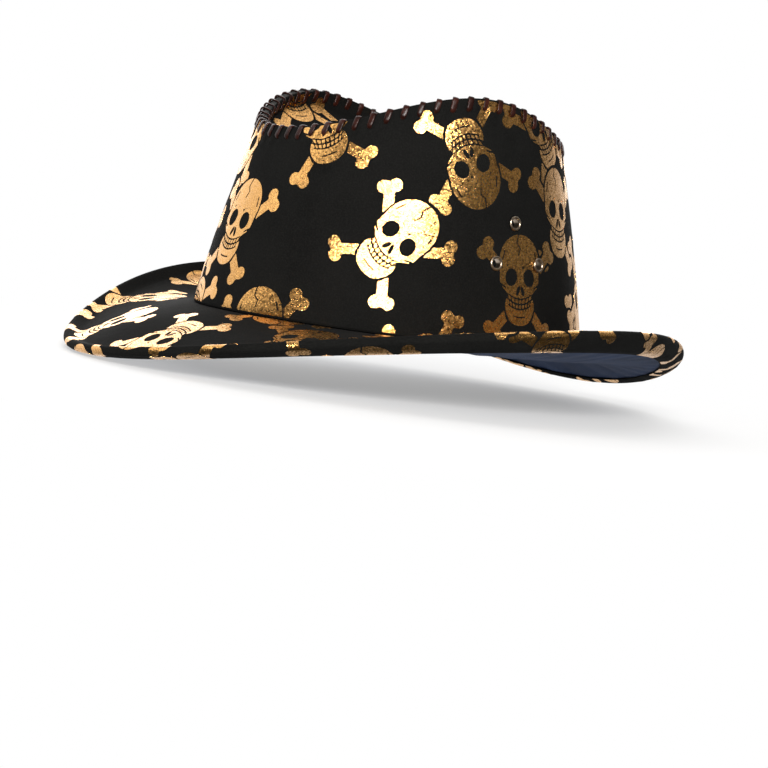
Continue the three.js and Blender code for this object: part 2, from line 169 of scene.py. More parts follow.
class HatSizes(bpy.types.PropertyGroup):
    """Sizes of the hat, each measured over the cloth unless it says otherwise."""

    head_length: length("Head length", "Inside of the sweatband, front to back", 192.4)
    head_width: length("Head width", "Inside of the sweatband, side to side", 165)
    cover: length("Cover", "Thickness of the printed cloth", 0.6)
    interlining: length("Interlining", "Thickness of the crown stiffener", 1.2)
    lining: length("Lining", "Thickness of the cloth under the brim", 0.6)
    sweatband: length("Sweatband", "Thickness of the sweatband", 1.0)
    foam: length("Foam", "Thickness of the foam in the brim", 1.8)
    gap: length("Gap", "Room between neighbouring layers", 0.3)
    top_length: length("Crown top length", "Front to back over the laced edge", 149.6)
    top_width: length("Crown top width", "Side to side over the laced edge", 148.9)
    top_shift: length("Crown top shift", "How far the laced edge sits behind the origin", -3.6)
    top_front: length("Crown front height", "Laced edge above the seam at the front", 89.2)
    top_side: length("Crown side height", "Laced edge above the seam at the sides", 113.6)
    top_back: length("Crown back height", "Laced edge above the seam at the back", 102.6)
    top_swing: length("Crown swing", "Third wave of the laced edge", -3.4)
    top_flatness: length("Crown flatness", "Fourth wave of the laced edge", 1.8)
    wall_bend: share("Wall bend", "Power by which the wall draws in towards the top", 1.2)
    tip_margin: length("Tip margin", "Height of the sunk tip's standing edge", 7)
    dent_front: length("Dent front", "Front end of the line the tip sinks to", -44)
    dent_back: length("Dent back", "Back end of the line the tip sinks to", 42)
    dent_height: length("Dent height", "Height of that line above the seam", 76)
    dent_bend: share("Dent bend", "Power by which the tip falls to its dent", 1.8)
    lace: length("Lace thickness", "Thickness of the flat lace", 0.85)
    lace_width: length("Lace width", "Width of the flat lace", 2.7)
    lace_reach: length("Lace reach", "How far the stitches reach below the edge", 5.6)
    lace_pitch: length("Lace pitch", "Spacing of the lace's stitches along the edge", 7.7)
    brim_length: length("Brim length", "Front to back over the rolled edge", 318)
    brim_width: length("Brim width", "Side to side over the rolled edge", 296)
    brim_shift: length("Brim shift", "How far the brim's middle sits behind the origin", -5.2)
    brim_taper: share("Brim taper", "Share by which the brim's corners draw in", 0.03)
    brim_front: length("Brim front height", "Edge above the seam at the front", -24.5)
    brim_side: length("Brim side height", "Edge above the seam at the sides", 16.3)
    brim_back: length("Brim back height", "Edge above the seam at the back", -14.3)
    brim_swing: length("Brim swing", "Third wave of the edge's height", 1.8)
    brim_lean: length("Brim lean", "Left side's rise over the right", 2.2)
    brim_twist: length("Brim twist", "Second wave of the difference between the sides", -1.6)
    brim_curl: length("Brim curl", "Third wave of the difference between the sides", 3.8)
    lip_width: length("Lip width", "Straight part of the turned-up lip", 4)
    lip_turn: bpy.props.FloatProperty(
        name="Lip turn",
        description="How far the lip turns up from the brim",
        default=math.radians(40),
        subtype="ANGLE",
    )
    lip_radius: length("Lip radius", "Radius of the fold at the foot of the lip", 4)
    hem_reach: length("Hem reach", "How far the hem runs in beyond the fold", 2.5)
    allowance: length("Allowance", "Height of the seam allowances in the crown", 8)
    wire: length("Wire", "Diameter of the wire in the edge", 1.4)
    sweatband_height: length("Sweatband height", "Top of the sweatband above the seam", 26)
    eyelet_hole: length("Eyelet hole", "Hole through an eyelet", 4.5)
    eyelet_flange: length("Eyelet flange", "Outer diameter of an eyelet's flange", 7)
    motif: length("Motif size", "Height of the skull in the printed pattern", 42)


class HatColours(bpy.types.PropertyGroup):
    """Colours of the hat's cloths, foil, lace and metals."""

    cloth: colour("Cloth", "Black brushed cloth", (0.0048, 0.0048, 0.0045, 1))
    foil: colour("Foil", "Bright gold of the foil print", (0.93, 0.52, 0.17, 1))
    foil_shade: colour("Foil shade", "Brown gold where the foil is thin", (0.5, 0.2, 0.045, 1))
    # The stiffener's near-black tone also paints the shade seen through the eyelet holes.
    fleece: colour("Fleece", "Crown and tip stiffener", (0.035, 0.034, 0.032, 1))
    foam: colour("Foam", "Foam in the brim", (0.5, 0.5, 0.48, 1))
    lining: colour("Lining", "Navy cloth under the brim", (0.016, 0.032, 0.078, 1))
    lace: colour("Lace", "Glossy dark brown lace", (0.022, 0.0055, 0.0035, 1))
    brass: colour("Brass", "Eyelets", (0.5, 0.4, 0.3, 1))
    steel: colour("Steel", "Wire in the brim", (0.5, 0.5, 0.5, 1))
    tape: colour("Tape", "Sweatband", (0.014, 0.014, 0.016, 1))
    thread: colour("Thread", "Sewing thread", (0.01, 0.01, 0.011, 1))
    floor: colour("Floor", "Studio floor", (0.86, 0.86, 0.86, 1))


def sizes():
    """The sizes in use."""
    return bpy.context.scene.hat_sizes


def colours():
    """The colours in use."""
    return bpy.context.scene.hat_colours


# ---------------------------------------------------------------- layers, outside to inside


def wall_insets():
    """Insets of each layer's outer face from the outer face of the crown wall."""
    s = sizes()
    fleece = s.cover + s.gap
    inside = fleece + s.interlining
    cover_flange = inside + s.gap
    lining_flange = cover_flange + s.cover + s.gap
    band = lining_flange + s.lining + s.gap
    head = band + s.sweatband
    tip = inside + 2 * s.gap + s.interlining + s.cover
    return {
        "fleece": fleece,
        "inside": inside,
        "cover_flange": cover_flange,
        "lining_flange": lining_flange,
        "band": band,
        "head": head,
        "tip": tip,
    }


def brim_depths():
    """Depths of each layer's top face below the top face of the brim."""
    s = sizes()
    foam = s.cover + s.gap
    lining = foam + s.foam + s.gap
    underside = lining + s.lining
    hem = underside + s.gap
    return {"foam": foam, "lining": lining, "under": underside, "hem": hem, "edge": hem + s.cover}


# ---------------------------------------------------------------- shape of the crown


def top_height(angle):
    """Height of the laced edge: the mean of its ends and sides plus cosine waves of one to
    four turns, set so that front, sides and back come out at their own heights."""
    s = sizes()
    ends = (s.top_front + s.top_back) / 2
    lean = (s.top_front - s.top_back) / 2
    return (
        (ends + s.top_side) / 2
        - s.top_flatness
        + (lean - s.top_swing) * np.cos(angle)
        + (ends - s.top_side) / 2 * np.cos(2 * angle)
        + s.top_swing * np.cos(3 * angle)
        + s.top_flatness * np.cos(4 * angle)
    )


def wall_surface(angle, height):
    """A point of the crown wall: an oval at the seam that moves towards the oval of the top
    edge by the height's share of the top height, raised to the wall's bend."""
    s = sizes()
    head = wall_insets()["head"]
    across, along = np.sin(angle), -np.cos(angle)
    drawn = np.clip(height / top_height(angle), 0, None) ** s.wall_bend
    x = (s.head_width / 2 + head) * across * (1 - drawn) + s.top_width / 2 * across * drawn
    y = (s.head_length / 2 + head) * along * (1 - drawn)
    y = y + (s.top_shift + s.top_length / 2 * along) * drawn
    return np.stack([x, y, height + 0 * angle], -1)


def wall_normal(angle, height):
    """Outward normal: the cross product of the surface's slopes round and up."""
    turn, rise = 0.01, 0.5 * MM
    round_ = wall_surface(angle + turn, height) - wall_surface(angle - turn, height)
    up = wall_surface(angle, height + rise) - wall_surface(angle, height - rise)
    normal = np.cross(round_, up)
    return normal / np.linalg.norm(normal, axis=-1, keepdims=True)


def bell(distance, width):
    """1 at no distance, and falling off within about a width of it."""
    return np.exp(-((distance / width) ** 2))


def wall_relief(angle, height):
    """Outward relief of the worn cloth: slow waves round and up the wall, a tuck under each
    stitch of the lace that fades below the edge, a back seam and a turned-in foot."""
    s = sizes()
    below = np.clip(top_height(angle) - height, 0, None)
    stitch = FULL_TURN * angle_to_stitch(angle)
    waves = np.sin(3 * angle + 0.8 + 21 * height) * np.sin(5 * angle - 0.4 - 34 * height)
    waves = waves + 0.5 * np.sin(9 * angle + 55 * height)
    tucks = -np.cos(stitch) * bell(below - s.lace_reach, 3.2 * MM)
    back = np.abs(np.angle(np.exp(1j * (angle - math.pi)))) * s.head_length / 2
    grooves = WALL_SEAM * bell(back, 0.9 * MM)
    grooves = grooves + WALL_FOOT * bell(np.clip(height, 0, None), 1.6 * MM)
    grooves = grooves + WALL_EDGE * bell(below, 0.8 * MM)
    return WALL_WAVES * waves + WALL_TUCKS * tucks - grooves


def wall_point(angle, height, inset):
    """A point set in from the crown wall, square to it."""
    return wall_surface(angle, height) - wall_normal(angle, height) * inset


def crown_face(angle, height, inset=0.0):
    """The crown's outer face with its relief, set in by an inset."""
    relief = wall_relief(angle, height)
    return wall_surface(angle, height) + wall_normal(angle, height) * (relief - inset)[..., None]


def edge_table(count=2880):
    """Angles round the laced edge and the edge's running length at each, by chords."""
    angle = np.linspace(0, FULL_TURN, count + 1)
    points = wall_surface(angle, top_height(angle))
    run = np.concatenate([[0], np.cumsum(np.linalg.norm(np.diff(points, axis=0), axis=1))])
    return angle, run


def stitch_count():
    """Whole stitches of the lace round the edge."""
    return round(edge_table()[1][-1] / sizes().lace_pitch)


def angle_to_stitch(angle):
    """Position along the lacing in stitches at an angle."""
    table, run = edge_table()
    turns = np.floor(angle / FULL_TURN)
    local = np.interp(angle - turns * FULL_TURN, table, run / run[-1])
    return (local + turns) * round(run[-1] / sizes().lace_pitch)


def tip_point(angle, reach, depth):
    """A point of the sunk tip. Reach 0 to 1 runs out from the dent's line to the margin's
    foot, its height rising by the dent's bend, and 1 to 2 climbs the margin to the edge."""
    s = sizes()
    inset = wall_insets()["tip"] - depth
    middle = (s.dent_back + s.dent_front) / 2
    half = (s.dent_back - s.dent_front) / 2
    foot = top_height(angle) - s.tip_margin
    corner = wall_point(angle, foot, inset)
    corner[..., 2] -= depth
    dent = np.stack([0 * angle, middle - half * np.cos(angle), s.dent_height + 0 * angle], -1)
    inner = np.clip(reach, 0, 1)[..., None]
    dish = dent + (corner - dent) * inner
    dish[..., 2] = s.dent_height + (corner[..., 2] + depth - s.dent_height) * inner[..., 0] ** s.dent_bend
    dish[..., 2] += tip_relief(dish[..., 0], dish[..., 1]) * (1 - inner[..., 0] ** 4) - depth
    climb = np.clip(reach - 1, 0, 1)
    standing = wall_point(angle, foot + s.tip_margin * climb, inset)
    standing[..., 2] -= depth * (1 - climb)
    return np.where((climb > 0)[..., None], standing, dish)


def tip_relief(x, y):
    """Soft waves across the sunk tip."""
    return TIP_WAVES * np.sin(95 * x + 30 * y) * np.cos(60 * y - 20 * x)


# ---------------------------------------------------------------- shape of the brim


def edge_point(angle):
    """The tip of the rolled edge: an oval drawn in at its corners, on waves of one to three
    turns, cosines for both sides alike and sines for their difference."""
    s = sizes()
    across, along = np.sin(angle), -np.cos(angle)
    tapered = 1 - s.brim_taper * np.sin(2 * angle) ** 2
    ends = (s.brim_front + s.brim_back) / 2
    lean = (s.brim_front - s.brim_back) / 2
    even = (ends + s.brim_side) / 2 + (lean - s.brim_swing) * np.cos(angle)
    even = even + (ends - s.brim_side) / 2 * np.cos(2 * angle) + s.brim_swing * np.cos(3 * angle)
    odd = s.brim_lean * across + s.brim_twist * np.sin(2 * angle) + s.brim_curl * np.sin(3 * angle)
    x = s.brim_width / 2 * across * tapered
    y = s.brim_shift + s.brim_length / 2 * along * tapered
    return np.stack([x, y, even + odd], -1)


def brim_profile(angle):
    """Where the fold starts at each angle and the slopes before and after it, found by
    stepping back from the edge through the roll, the lip and the fold a dozen times."""
    s = sizes()
    half = brim_depths()["edge"] / 2
    seam = wall_surface(angle, 0 * angle)[..., :2]
    edge = edge_point(angle)
    outward = edge[..., :2] - seam
    span = np.linalg.norm(outward, axis=-1)
    out, up = span, edge[..., 2]
    for _ in range(12):
        slope = np.arctan(1.5 * up / out)
        raised = slope + s.lip_turn
        run = (half + s.lip_width) * np.cos(raised) + half * np.sin(raised)
        rise = (half + s.lip_width) * np.sin(raised) - half * np.cos(raised)
        out = span - run - s.lip_radius * (np.sin(raised) - np.sin(slope))
        up = edge[..., 2] - rise - s.lip_radius * (np.cos(slope) - np.cos(raised))
    steep = np.maximum((1.5 * up / out) ** 2, 1e-6)
    sheet = out * 2 / (3 * steep) * ((1 + steep) ** 1.5 - 1)
    return {
        "seam": seam,
        "outward": outward / span[..., None],
        "out": out,
        "up": up,
        "slope": slope,
        "raised": raised,
        "steep": steep,
        "sheet": sheet,
    }


def brim_stops(p):
    """Running lengths of the cloth at the ends of sheet, fold, lip, roll, lip back and fold
    back, and at the hem's end."""
    s = sizes()
    thick = brim_depths()["edge"]
    fold = p["sheet"] + s.lip_radius * s.lip_turn
    lip = fold + s.lip_width
    roll = lip + math.pi * thick / 2
    lip_back = roll + s.lip_width
    fold_back = lip_back + (s.lip_radius + thick) * s.lip_turn
    return p["sheet"], fold, lip, roll, lip_back, fold_back, fold_back + s.hem_reach


def brim_relief(angle, run, sheet):
    """Gentle waves of the worn brim that fade at the seam and at the fold."""
    along = np.clip(run / sheet, 0, 1)
    fade = np.sin(math.pi * along) ** 0.7
    waves = np.sin(7 * angle + 60 * run) + 0.6 * np.sin(11 * angle - 85 * run + 1)
    pinch = bell(np.clip(run, 0, None), 1.2 * MM)
    return BRIM_WAVES * waves * fade * (along < 1) - BRIM_PINCH * pinch


def brim_face(p, angle, run, depth):
    """A point of the brim's cloth by running length from the seam: out along the curved
    sheet, round the fold, up the lip, round the rolled edge and back under to the hem.
    The sheet rises by the power 1.5 of its reach; the rest are arcs and straights.
    Depth sets the point in, square to the cloth."""
    s = sizes()
    thick = brim_depths()["edge"]
    stops = brim_stops(p)
    run = run + 0 * p["out"]
    sign = np.sign(p["up"])
    grown = 1.5 * p["steep"] * np.clip(run, 0, p["sheet"]) / p["out"] + 1
    part = (grown ** (2 / 3) - 1) / p["steep"]
    back = 1 - (run - stops[5]) / p["out"]
    t = np.where(run > stops[5], np.clip(back, 0, 1), np.clip(part, 0, 1))
    sheet_tilt = sign * np.arctan(np.sqrt(p["steep"] * t))
    sheet_out, sheet_up = p["out"] * t, p["up"] * t**1.5
    swing = np.where(
        run < stops[3],
        (run - stops[0]) / s.lip_radius,
        s.lip_turn - (run - stops[4]) / (s.lip_radius + thick),
    )
    fold_tilt = p["slope"] + np.clip(swing, 0, s.lip_turn)
    fold_out = p["out"] + s.lip_radius * (np.sin(fold_tilt) - np.sin(p["slope"]))
    fold_up = p["up"] + s.lip_radius * (np.cos(p["slope"]) - np.cos(fold_tilt))
    top_out = p["out"] + s.lip_radius * (np.sin(p["raised"]) - np.sin(p["slope"]))
    top_up = p["up"] + s.lip_radius * (np.cos(p["slope"]) - np.cos(p["raised"]))
    ahead = np.where(run < stops[3], run - stops[1], stops[4] - run)
    ahead = np.clip(ahead, 0, s.lip_width)
    lip_out = top_out + ahead * np.cos(p["raised"])
    lip_up = top_up + ahead * np.sin(p["raised"])
    roll = p["raised"] - np.clip((run - stops[2]) / (thick / 2), 0, math.pi)
    end_out = top_out + s.lip_width * np.cos(p["raised"]) + thick / 2 * np.sin(p["raised"])
    end_up = top_up + s.lip_width * np.sin(p["raised"]) - thick / 2 * np.cos(p["raised"])
    roll_out = end_out - thick / 2 * np.sin(roll)
    roll_up = end_up + thick / 2 * np.cos(roll)
    below = thick * np.sin(fold_tilt), thick * np.cos(fold_tilt)
    under = thick * np.sin(sheet_tilt), thick * np.cos(sheet_tilt)
    lip_below = thick * np.sin(p["raised"]), thick * np.cos(p["raised"])
    where = [run <= stop for stop in stops[:6]]
    out = np.select(
        where,
        [sheet_out, fold_out, lip_out, roll_out, lip_out + lip_below[0], fold_out + below[0]],
        sheet_out + under[0],
    )
    up = np.select(
        where,
        [sheet_up, fold_up, lip_up, roll_up, lip_up - lip_below[1], fold_up - below[1]],
        sheet_up - under[1],
    )
    tilt = np.select(
        where,
        [sheet_tilt, fold_tilt, p["raised"], roll, p["raised"] - math.pi, fold_tilt - math.pi],
        sheet_tilt - math.pi,
    )
    inset = depth - np.where(run < stops[0], brim_relief(angle, run, p["sheet"]), 0)
    out = out + inset * np.sin(tilt)
    up = up - inset * np.cos(tilt)
    xy = p["seam"] + p["outward"] * out[..., None]
    return np.concatenate([xy, up[..., None]], -1)


def brim_inner(p, part, depth):
    """A point at a depth under the sheet, part of the way from the seam to the fold."""
    tilt = np.sign(p["up"]) * np.arctan(np.sqrt(p["steep"] * part))
    out = p["out"] * part + depth * np.sin(tilt)
    up = p["up"] * part**1.5 - depth * np.cos(tilt)
    xy = p["seam"] + p["outward"] * out[..., None]
    return np.concatenate([xy, up[..., None]], -1)


def wire_centre(p):
    """The middle of the rolled edge: distance out from the seam and height."""
    s = sizes()
    half = brim_depths()["edge"] / 2
    out = p["out"] + s.lip_radius * (np.sin(p["raised"]) - np.sin(p["slope"]))
    up = p["up"] + s.lip_radius * (np.cos(p["slope"]) - np.cos(p["raised"]))
    out = out + s.lip_width * np.cos(p["raised"]) + half * np.sin(p["raised"])
    up = up + s.lip_width * np.sin(p["raised"]) - half * np.cos(p["raised"])
    return out, up


# ---------------------------------------------------------------- meshes


def finish_mesh(obj, material, nodes=(), smooth_angle=None):
    """Merges doubles, points the faces outwards, shades smooth, rides on the root body."""
    mesh = obj.data
    work = bmesh.new()
    work.from_mesh(mesh)
    bmesh.ops.remove_doubles(work, verts=work.verts, dist=1e-7)
    bmesh.ops.dissolve_degenerate(work, edges=work.edges, dist=1e-8)
    bmesh.ops.recalc_face_normals(work, faces=work.faces)
    if work.calc_volume(signed=True) < 0:
        bmesh.ops.reverse_faces(work, faces=work.faces)
    work.to_mesh(mesh)
    work.free()
    mesh.shade_smooth()
    if smooth_angle:
        mesh.set_sharp_from_angle(angle=smooth_angle)
    mesh.materials.clear()
    mesh.materials.append(material)
    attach(obj, "root")
    if nodes:
        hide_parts(*nodes)
    return obj


def new_mesh(name, points, faces, uv=None):
    """A mesh of points and of faces that all have the same number of corners."""
    corners = faces.shape[1]
    mesh = bpy.data.meshes.new(name)
    mesh.vertices.add(len(points))
    mesh.vertices.foreach_set("co", np.ascontiguousarray(points, np.float32).ravel())
    mesh.loops.add(faces.size)
    mesh.loops.foreach_set("vertex_index", faces.ravel().astype(np.int32))
    mesh.polygons.add(len(faces))
    mesh.polygons.foreach_set("loop_start", np.arange(0, faces.size, corners, dtype=np.int32))
    mesh.update(calc_edges=True)
    if uv is not None:
        layer = mesh.uv_layers.new(name="Cloth")
        layer.data.foreach_set("uv", uv.astype(np.float32).ravel())
    mesh.validate()
    obj = bpy.data.objects.new(name, mesh)
    bpy.context.scene.collection.objects.link(obj)
    return obj


def carried(name, rows, closed=True, wrap=True):
    """A mesh of rows of points, one row for each step of the section, carried round the hat.
    Rows close on themselves when the section is a closed loop, and columns when the ring
    is whole. The cloth's own map is mean running length round by running length across."""
    grid = np.stack(rows)
    count, columns = grid.shape[:2]
    steps_up = np.arange(count if closed else count - 1)
    steps_round = np.arange(columns if wrap else columns - 1)
    r0, c0 = np.meshgrid(steps_up, steps_round, indexing="ij")
    r1, c1 = r0 + 1, c0 + 1
    corners = [(r0, c0), (r0, c1), (r1, c1), (r1, c0)]
    quads = np.stack([(r % count) * columns + c % columns for r, c in corners], -1).reshape(-1, 4)
    steps = np.linalg.norm(np.roll(grid, -1, 0) - grid, axis=-1).mean(1)
    along = np.concatenate([[0], np.cumsum(steps)])
    girth = np.linalg.norm(np.roll(grid, -1, 1) - grid, axis=-1).sum(1).mean()
    u = np.stack([c0, c1, c1, c0], -1) * girth / columns
    v = np.stack([along[r0], along[r0], along[r1], along[r1]], -1)
    uv = np.stack([u, v], -1).reshape(-1, 2)
    return new_mesh(name, grid.reshape(-1, 3), quads, uv)


def capped(rows):
    """Rows of an open ring with a column more at each end, halfway between each row and
    the row opposite it in the section, so that the ends close."""
    grid = np.stack(rows)
    middle = (grid + grid[::-1]) / 2
    return np.concatenate([middle[:, :1], grid, middle[:, -1:]], axis=1)


def angles(count):
    """Even steps of a whole turn, from the front round by the wearer's left."""
    return np.arange(count) * FULL_TURN / count


# ---------------------------------------------------------------- crown


def wall_shares():
    """Rows of the crown's cloth, closer together under the lacing."""
    return np.concatenate([np.linspace(0, 0.84, 68), np.linspace(0.85, 1, 24)])


def wall_shell(name, outer, inner, count, rough):
    """A layer of the crown wall between two insets; the inner side has every third row."""
    s = sizes()
    around = angles(count)
    top = top_height(around)
    shares = wall_shares()[::rough]
    shares = np.append(shares[:-1], 1)
    back = np.append(shares[::-1][:-1:3], 0)
    outside = [crown_face(around, s.gap + (top - s.gap) * v, outer) for v in shares]
    inside = [crown_face(around, s.gap + (top - s.gap) * v, inner) for v in back]
    return carried(name, outside + inside)


def eyelet_seats():
    """The places of the three eyelets on each side: angle, height, point and axis."""
    seats = []
    for part, behind, height in EYELETS:
        low, high = 0.0, math.pi
        for _ in range(40):
            middle = (low + high) / 2
            ahead = wall_surface(np.array([middle]), np.array([height]))[0, 1] < behind
            low, high = (middle, high) if ahead else (low, middle)
        for side, angle in (("left", middle), ("right", FULL_TURN - middle)):
            place = wall_surface(np.array([angle]), np.array([height]))[0]
            axis = wall_normal(np.array([angle]), np.array([height]))[0]
            seats.append((f"eyelet_{side}_{part}", angle, height, place, axis))
    return seats


def pierce(obj):
    """Cuts the eyelets' holes through a layer of the wall."""
    s = sizes()
    work = bmesh.new()
    for _, _, _, place, axis in eyelet_seats():
        turn = Vector((0, 0, 1)).rotation_difference(Vector(axis)).to_matrix().to_4x4()
        hole = s.eyelet_hole / 2 + EYELET_WALL + s.gap
        bmesh.ops.create_cone(
            work,
            cap_ends=True,
            segments=40,
            radius1=hole,
            radius2=hole,
            depth=16 * MM,
            matrix=Matrix.Translation(Vector(place)) @ turn,
        )
    mesh = bpy.data.meshes.new("drills")
    work.to_mesh(mesh)
    work.free()
    drill = bpy.data.objects.new("drills", mesh)
    bpy.context.scene.collection.objects.link(drill)
    cut = obj.modifiers.new("Eyelet holes", "BOOLEAN")
    cut.operation = "DIFFERENCE"
    cut.solver = "MANIFOLD"
    cut.object = drill
    graph = bpy.context.evaluated_depsgraph_get()
    result = bpy.data.meshes.new_from_object(obj.evaluated_get(graph))
    obj.modifiers.clear()
    obj.data = result
    bpy.data.objects.remove(drill)
    if len(result.polygons) < 1000:
        raise RuntimeError("cutting the eyelet holes emptied " + obj.name)


def eyelet(name, place, axis):
    """A one-piece eyelet: a section of domed flange, barrel and curled rear, turned about
    its axis in 56 steps."""
    s = sizes()
    hole, flange = s.eyelet_hole / 2, s.eyelet_flange / 2
    barrel, rear = hole + EYELET_WALL, -(wall_insets()["inside"] + EYELET_SEAT)
    dome = np.linspace(math.pi, 0, 12)
    middle, reach = (hole + flange) / 2, (flange - hole) / 2
    front = [(middle + reach * np.cos(a), EYELET_SEAT + EYELET_DOME * np.sin(a) ** 0.8) for a in dome]
    half_wall, rear_flange, soft = EYELET_WALL / 2, flange - 0.5 * MM, EYELET_ROUNDING
    curl = np.linspace(0, math.pi, 8)
    edge = [(rear_flange + half_wall * np.sin(a), rear - half_wall * (1 - np.cos(a))) for a in curl]
    mouth = [(hole + 0.08 * MM, rear - EYELET_WALL), (hole, rear - 0.2 * MM), (hole, EYELET_SEAT - 0.1 * MM)]
    section = front + [(barrel + soft, EYELET_SEAT), (barrel, EYELET_SEAT - soft)]
    section += [(barrel, rear + soft), (barrel + soft, rear)] + edge + mouth
    turn = np.array(Vector((0, 0, 1)).rotation_difference(Vector(axis)).to_matrix())
    around = angles(56)
    rows = []
    for radius, along in section:
        ring = np.stack([radius * np.cos(around), radius * np.sin(around), along + 0 * around], -1)
        rows.append(ring @ turn.T + place)
    return carried(name, rows)


def tip_shell(name, near, far, count, steps):
    """A layer of the tip between two depths, from the dent's line out and up the margin."""
    around = angles(count)
    reach = np.concatenate([np.linspace(0, 0.97, steps), np.linspace(1, 2, 10)])
    below = [tip_point(around, v + 0 * around, far) for v in reach[::2][:-1]]
    below.append(tip_point(around, 2 + 0 * around, far))
    above = [tip_point(around, v + 0 * around, near) for v in reach[::-1]]
    return carried(name, below + above, closed=False)


def lace_path(stitches, samples):
    """Centre line of the lace, in stitches along the edge, outward reach and height over
    the edge. Each stitch climbs the outside, crosses the edge, drops down the inside and
    comes back through the cloth, round a rectangle with rounded corners."""
    s = sizes()
    half = s.lace / 2
    outer, inner = half + LACE_PLAY, -(wall_insets()["tip"] + half + 0.1 * MM)
    low, high = -s.lace_reach, half + 0.05 * MM
    corners = [(outer, low), (outer, high), (inner, high), (inner, low)]
    path = []
    for i, (n, h) in enumerate(corners):
        before, after = np.array(corners[i - 1]), np.array(corners[(i + 1) % 4])
        here = np.array([n, h])
        into = (here - before) / np.linalg.norm(here - before)
        away = (after - here) / np.linalg.norm(after - here)
        for t in np.linspace(0, math.pi / 2, 5):
            path.append(here - LACE_BEND * (into * (1 - np.sin(t)) - away * (1 - np.cos(t))))
    path = np.array(path + [path[0]])
    run = np.concatenate([[0], np.cumsum(np.linalg.norm(np.diff(path, axis=0), axis=1))])
    knots = np.array([0, 0.32, 0.58, 0.86, 1.0])
    ends = np.array([0, run[9], run[14], run[19], run[-1]])
    u = np.arange(stitches * samples) / samples
    phase = u % 1
    along = np.interp(phase, knots, ends)
    n, h = (np.interp(along, run, path[:, k]) for k in (0, 1))
    advance = np.interp(phase, knots, [0, 0.14, 0.32, 0.52, 1.0])
    return np.floor(u) + advance, n, h, phase


def crown_lace():
    """One endless flat lace, whip-stitched over the edge. Its section is a rounded flat
    strip that narrows where it goes through the cloth, turned so that its flat side lies
    against the cloth."""
    s = sizes()
    count, samples = stitch_count(), 34
    stitch, n, h, phase = lace_path(count, samples)
    table, run = edge_table()
    angle = np.interp(stitch % count, run / run[-1] * count, table)
    uneven = LACE_UNEVEN[0] * np.sin(2.4 * np.floor(stitch))
    uneven = uneven + LACE_UNEVEN[1] * np.sin(5.1 * np.floor(stitch + 0.5))
    h = h + np.where(h < -0.5 * s.lace_reach, uneven * np.clip(-h / s.lace_reach, 0, 1), 0)
    top = top_height(angle)
    normal = wall_normal(angle, top)
    centre = wall_surface(angle, top + h) + normal * n[:, None]
    ahead = np.roll(centre, -1, 0) - np.roll(centre, 1, 0)
    ahead /= np.linalg.norm(ahead, axis=-1, keepdims=True)
    core_n, core_h = -wall_insets()["tip"] / 2, -s.lace_reach / 2
    away = normal * (n - core_n)[:, None] * 0.9
    away[:, 2] += (h - core_h) * 0.75
    away -= ahead * (away * ahead).sum(-1, keepdims=True)
    away /= np.linalg.norm(away, axis=-1, keepdims=True)
    side = np.cross(ahead, away)
    through = bell(phase - 0.95, 0.09) + bell(phase + 0.05, 0.09)
    width = s.lace_width / 2 * (1 - 0.42 * np.clip(through, 0, 1))
    width *= 1 + 0.05 * np.sin(1.7 * stitch) + 0.03 * np.sin(4.9 * stitch)
    thick = s.lace / 2 * (1 + 0.15 * np.clip(through, 0, 1))
    rows = []
    for t in angles(14):
        flat = np.sign(np.cos(t)) * abs(np.cos(t)) ** 0.7
        deep = np.sign(np.sin(t)) * abs(np.sin(t)) ** 0.75
        rows.append(centre + side * (width * flat)[:, None] + away * (thick * deep)[:, None])
    return carried("crown_lace_thong", rows)


# ---------------------------------------------------------------- brim


def brim_cloth():
    """The printed cloth: a flange up inside the crown, the sheet, the fold, the lip, the
    roll round the wire, and the hem back under, then the same way back at its own
    thickness."""
    s = sizes()
    inset = wall_insets()["cover_flange"]
    around = angles(600)
    p = brim_profile(around)
    stops = brim_stops(p)
    marks = [0 * stops[0]] + list(stops)
    fine, coarse = (56, 7, 5, 13, 4, 7, 3), (18, 4, 2, 8, 2, 4, 1)

    def runs(counts):
        # Running lengths of all rows: each stretch is cut into its count of even steps.
        found = [marks[0]]
        for before, after, steps in zip(marks, marks[1:], counts):
            found += [before + (after - before) * (k + 1) / steps for k in range(steps)]
        return found

    outside = [brim_face(p, around, run, 0) for run in runs(fine)]
    inside = [brim_face(p, around, run, s.cover) for run in runs(coarse)][::-1]
    up = [wall_point(around, v * s.allowance + 0 * around, inset) for v in (1, 0.5, 0)]
    down = [
        wall_point(around, v + 0 * around, inset + s.cover)
        for v in (-s.cover, 0, s.allowance / 2, s.allowance)
    ]
    return carried("brim_cloth", up + outside + inside[:-1] + down)


def brim_lining():
    """The lining under the brim, with soft puckers that run out from the head opening."""
    s = sizes()
    inset, depth = wall_insets()["lining_flange"], brim_depths()
    around = angles(720)
    p = brim_profile(around)
    waves = 0.5 + 0.5 * np.sin(46 * around + 1.7 * np.sin(3 * around) + 0.9 * np.sin(7 * around))
    finer = 0.5 + 0.5 * np.sin(83 * around + 2.2 * np.sin(5 * around + 1))

    def face(level, shares):
        # Rows below the sheet, lowered by puckers that fade at the seam and at the hem.
        made = []
        for v in shares:
            fade = np.clip((1 - v) * 9, 0, 1) * np.clip(v * 8, 0, 1)
            pucker = LINING_PUCKERS[0] * waves * (0.4 + 0.6 * v) + LINING_PUCKERS[1] * finer * (1 - v)
            made.append(brim_inner(p, v + 0 * around, level + pucker * fade))
        return made

    def flange(level, reach):
        # Rows of the seam allowance that stands inside the crown.
        heights = (s.allowance, s.allowance / 2, 0, -level)
        return [wall_point(around, v + 0 * around, reach) for v in heights]

    shares = np.linspace(0.02, 1, 46)
    under = flange(depth["under"], inset + s.lining) + face(depth["under"], shares)
    over = face(depth["lining"], shares[::-3]) + flange(depth["lining"], inset)[::-1]
    return carried("brim_lining_cloth", under + over)


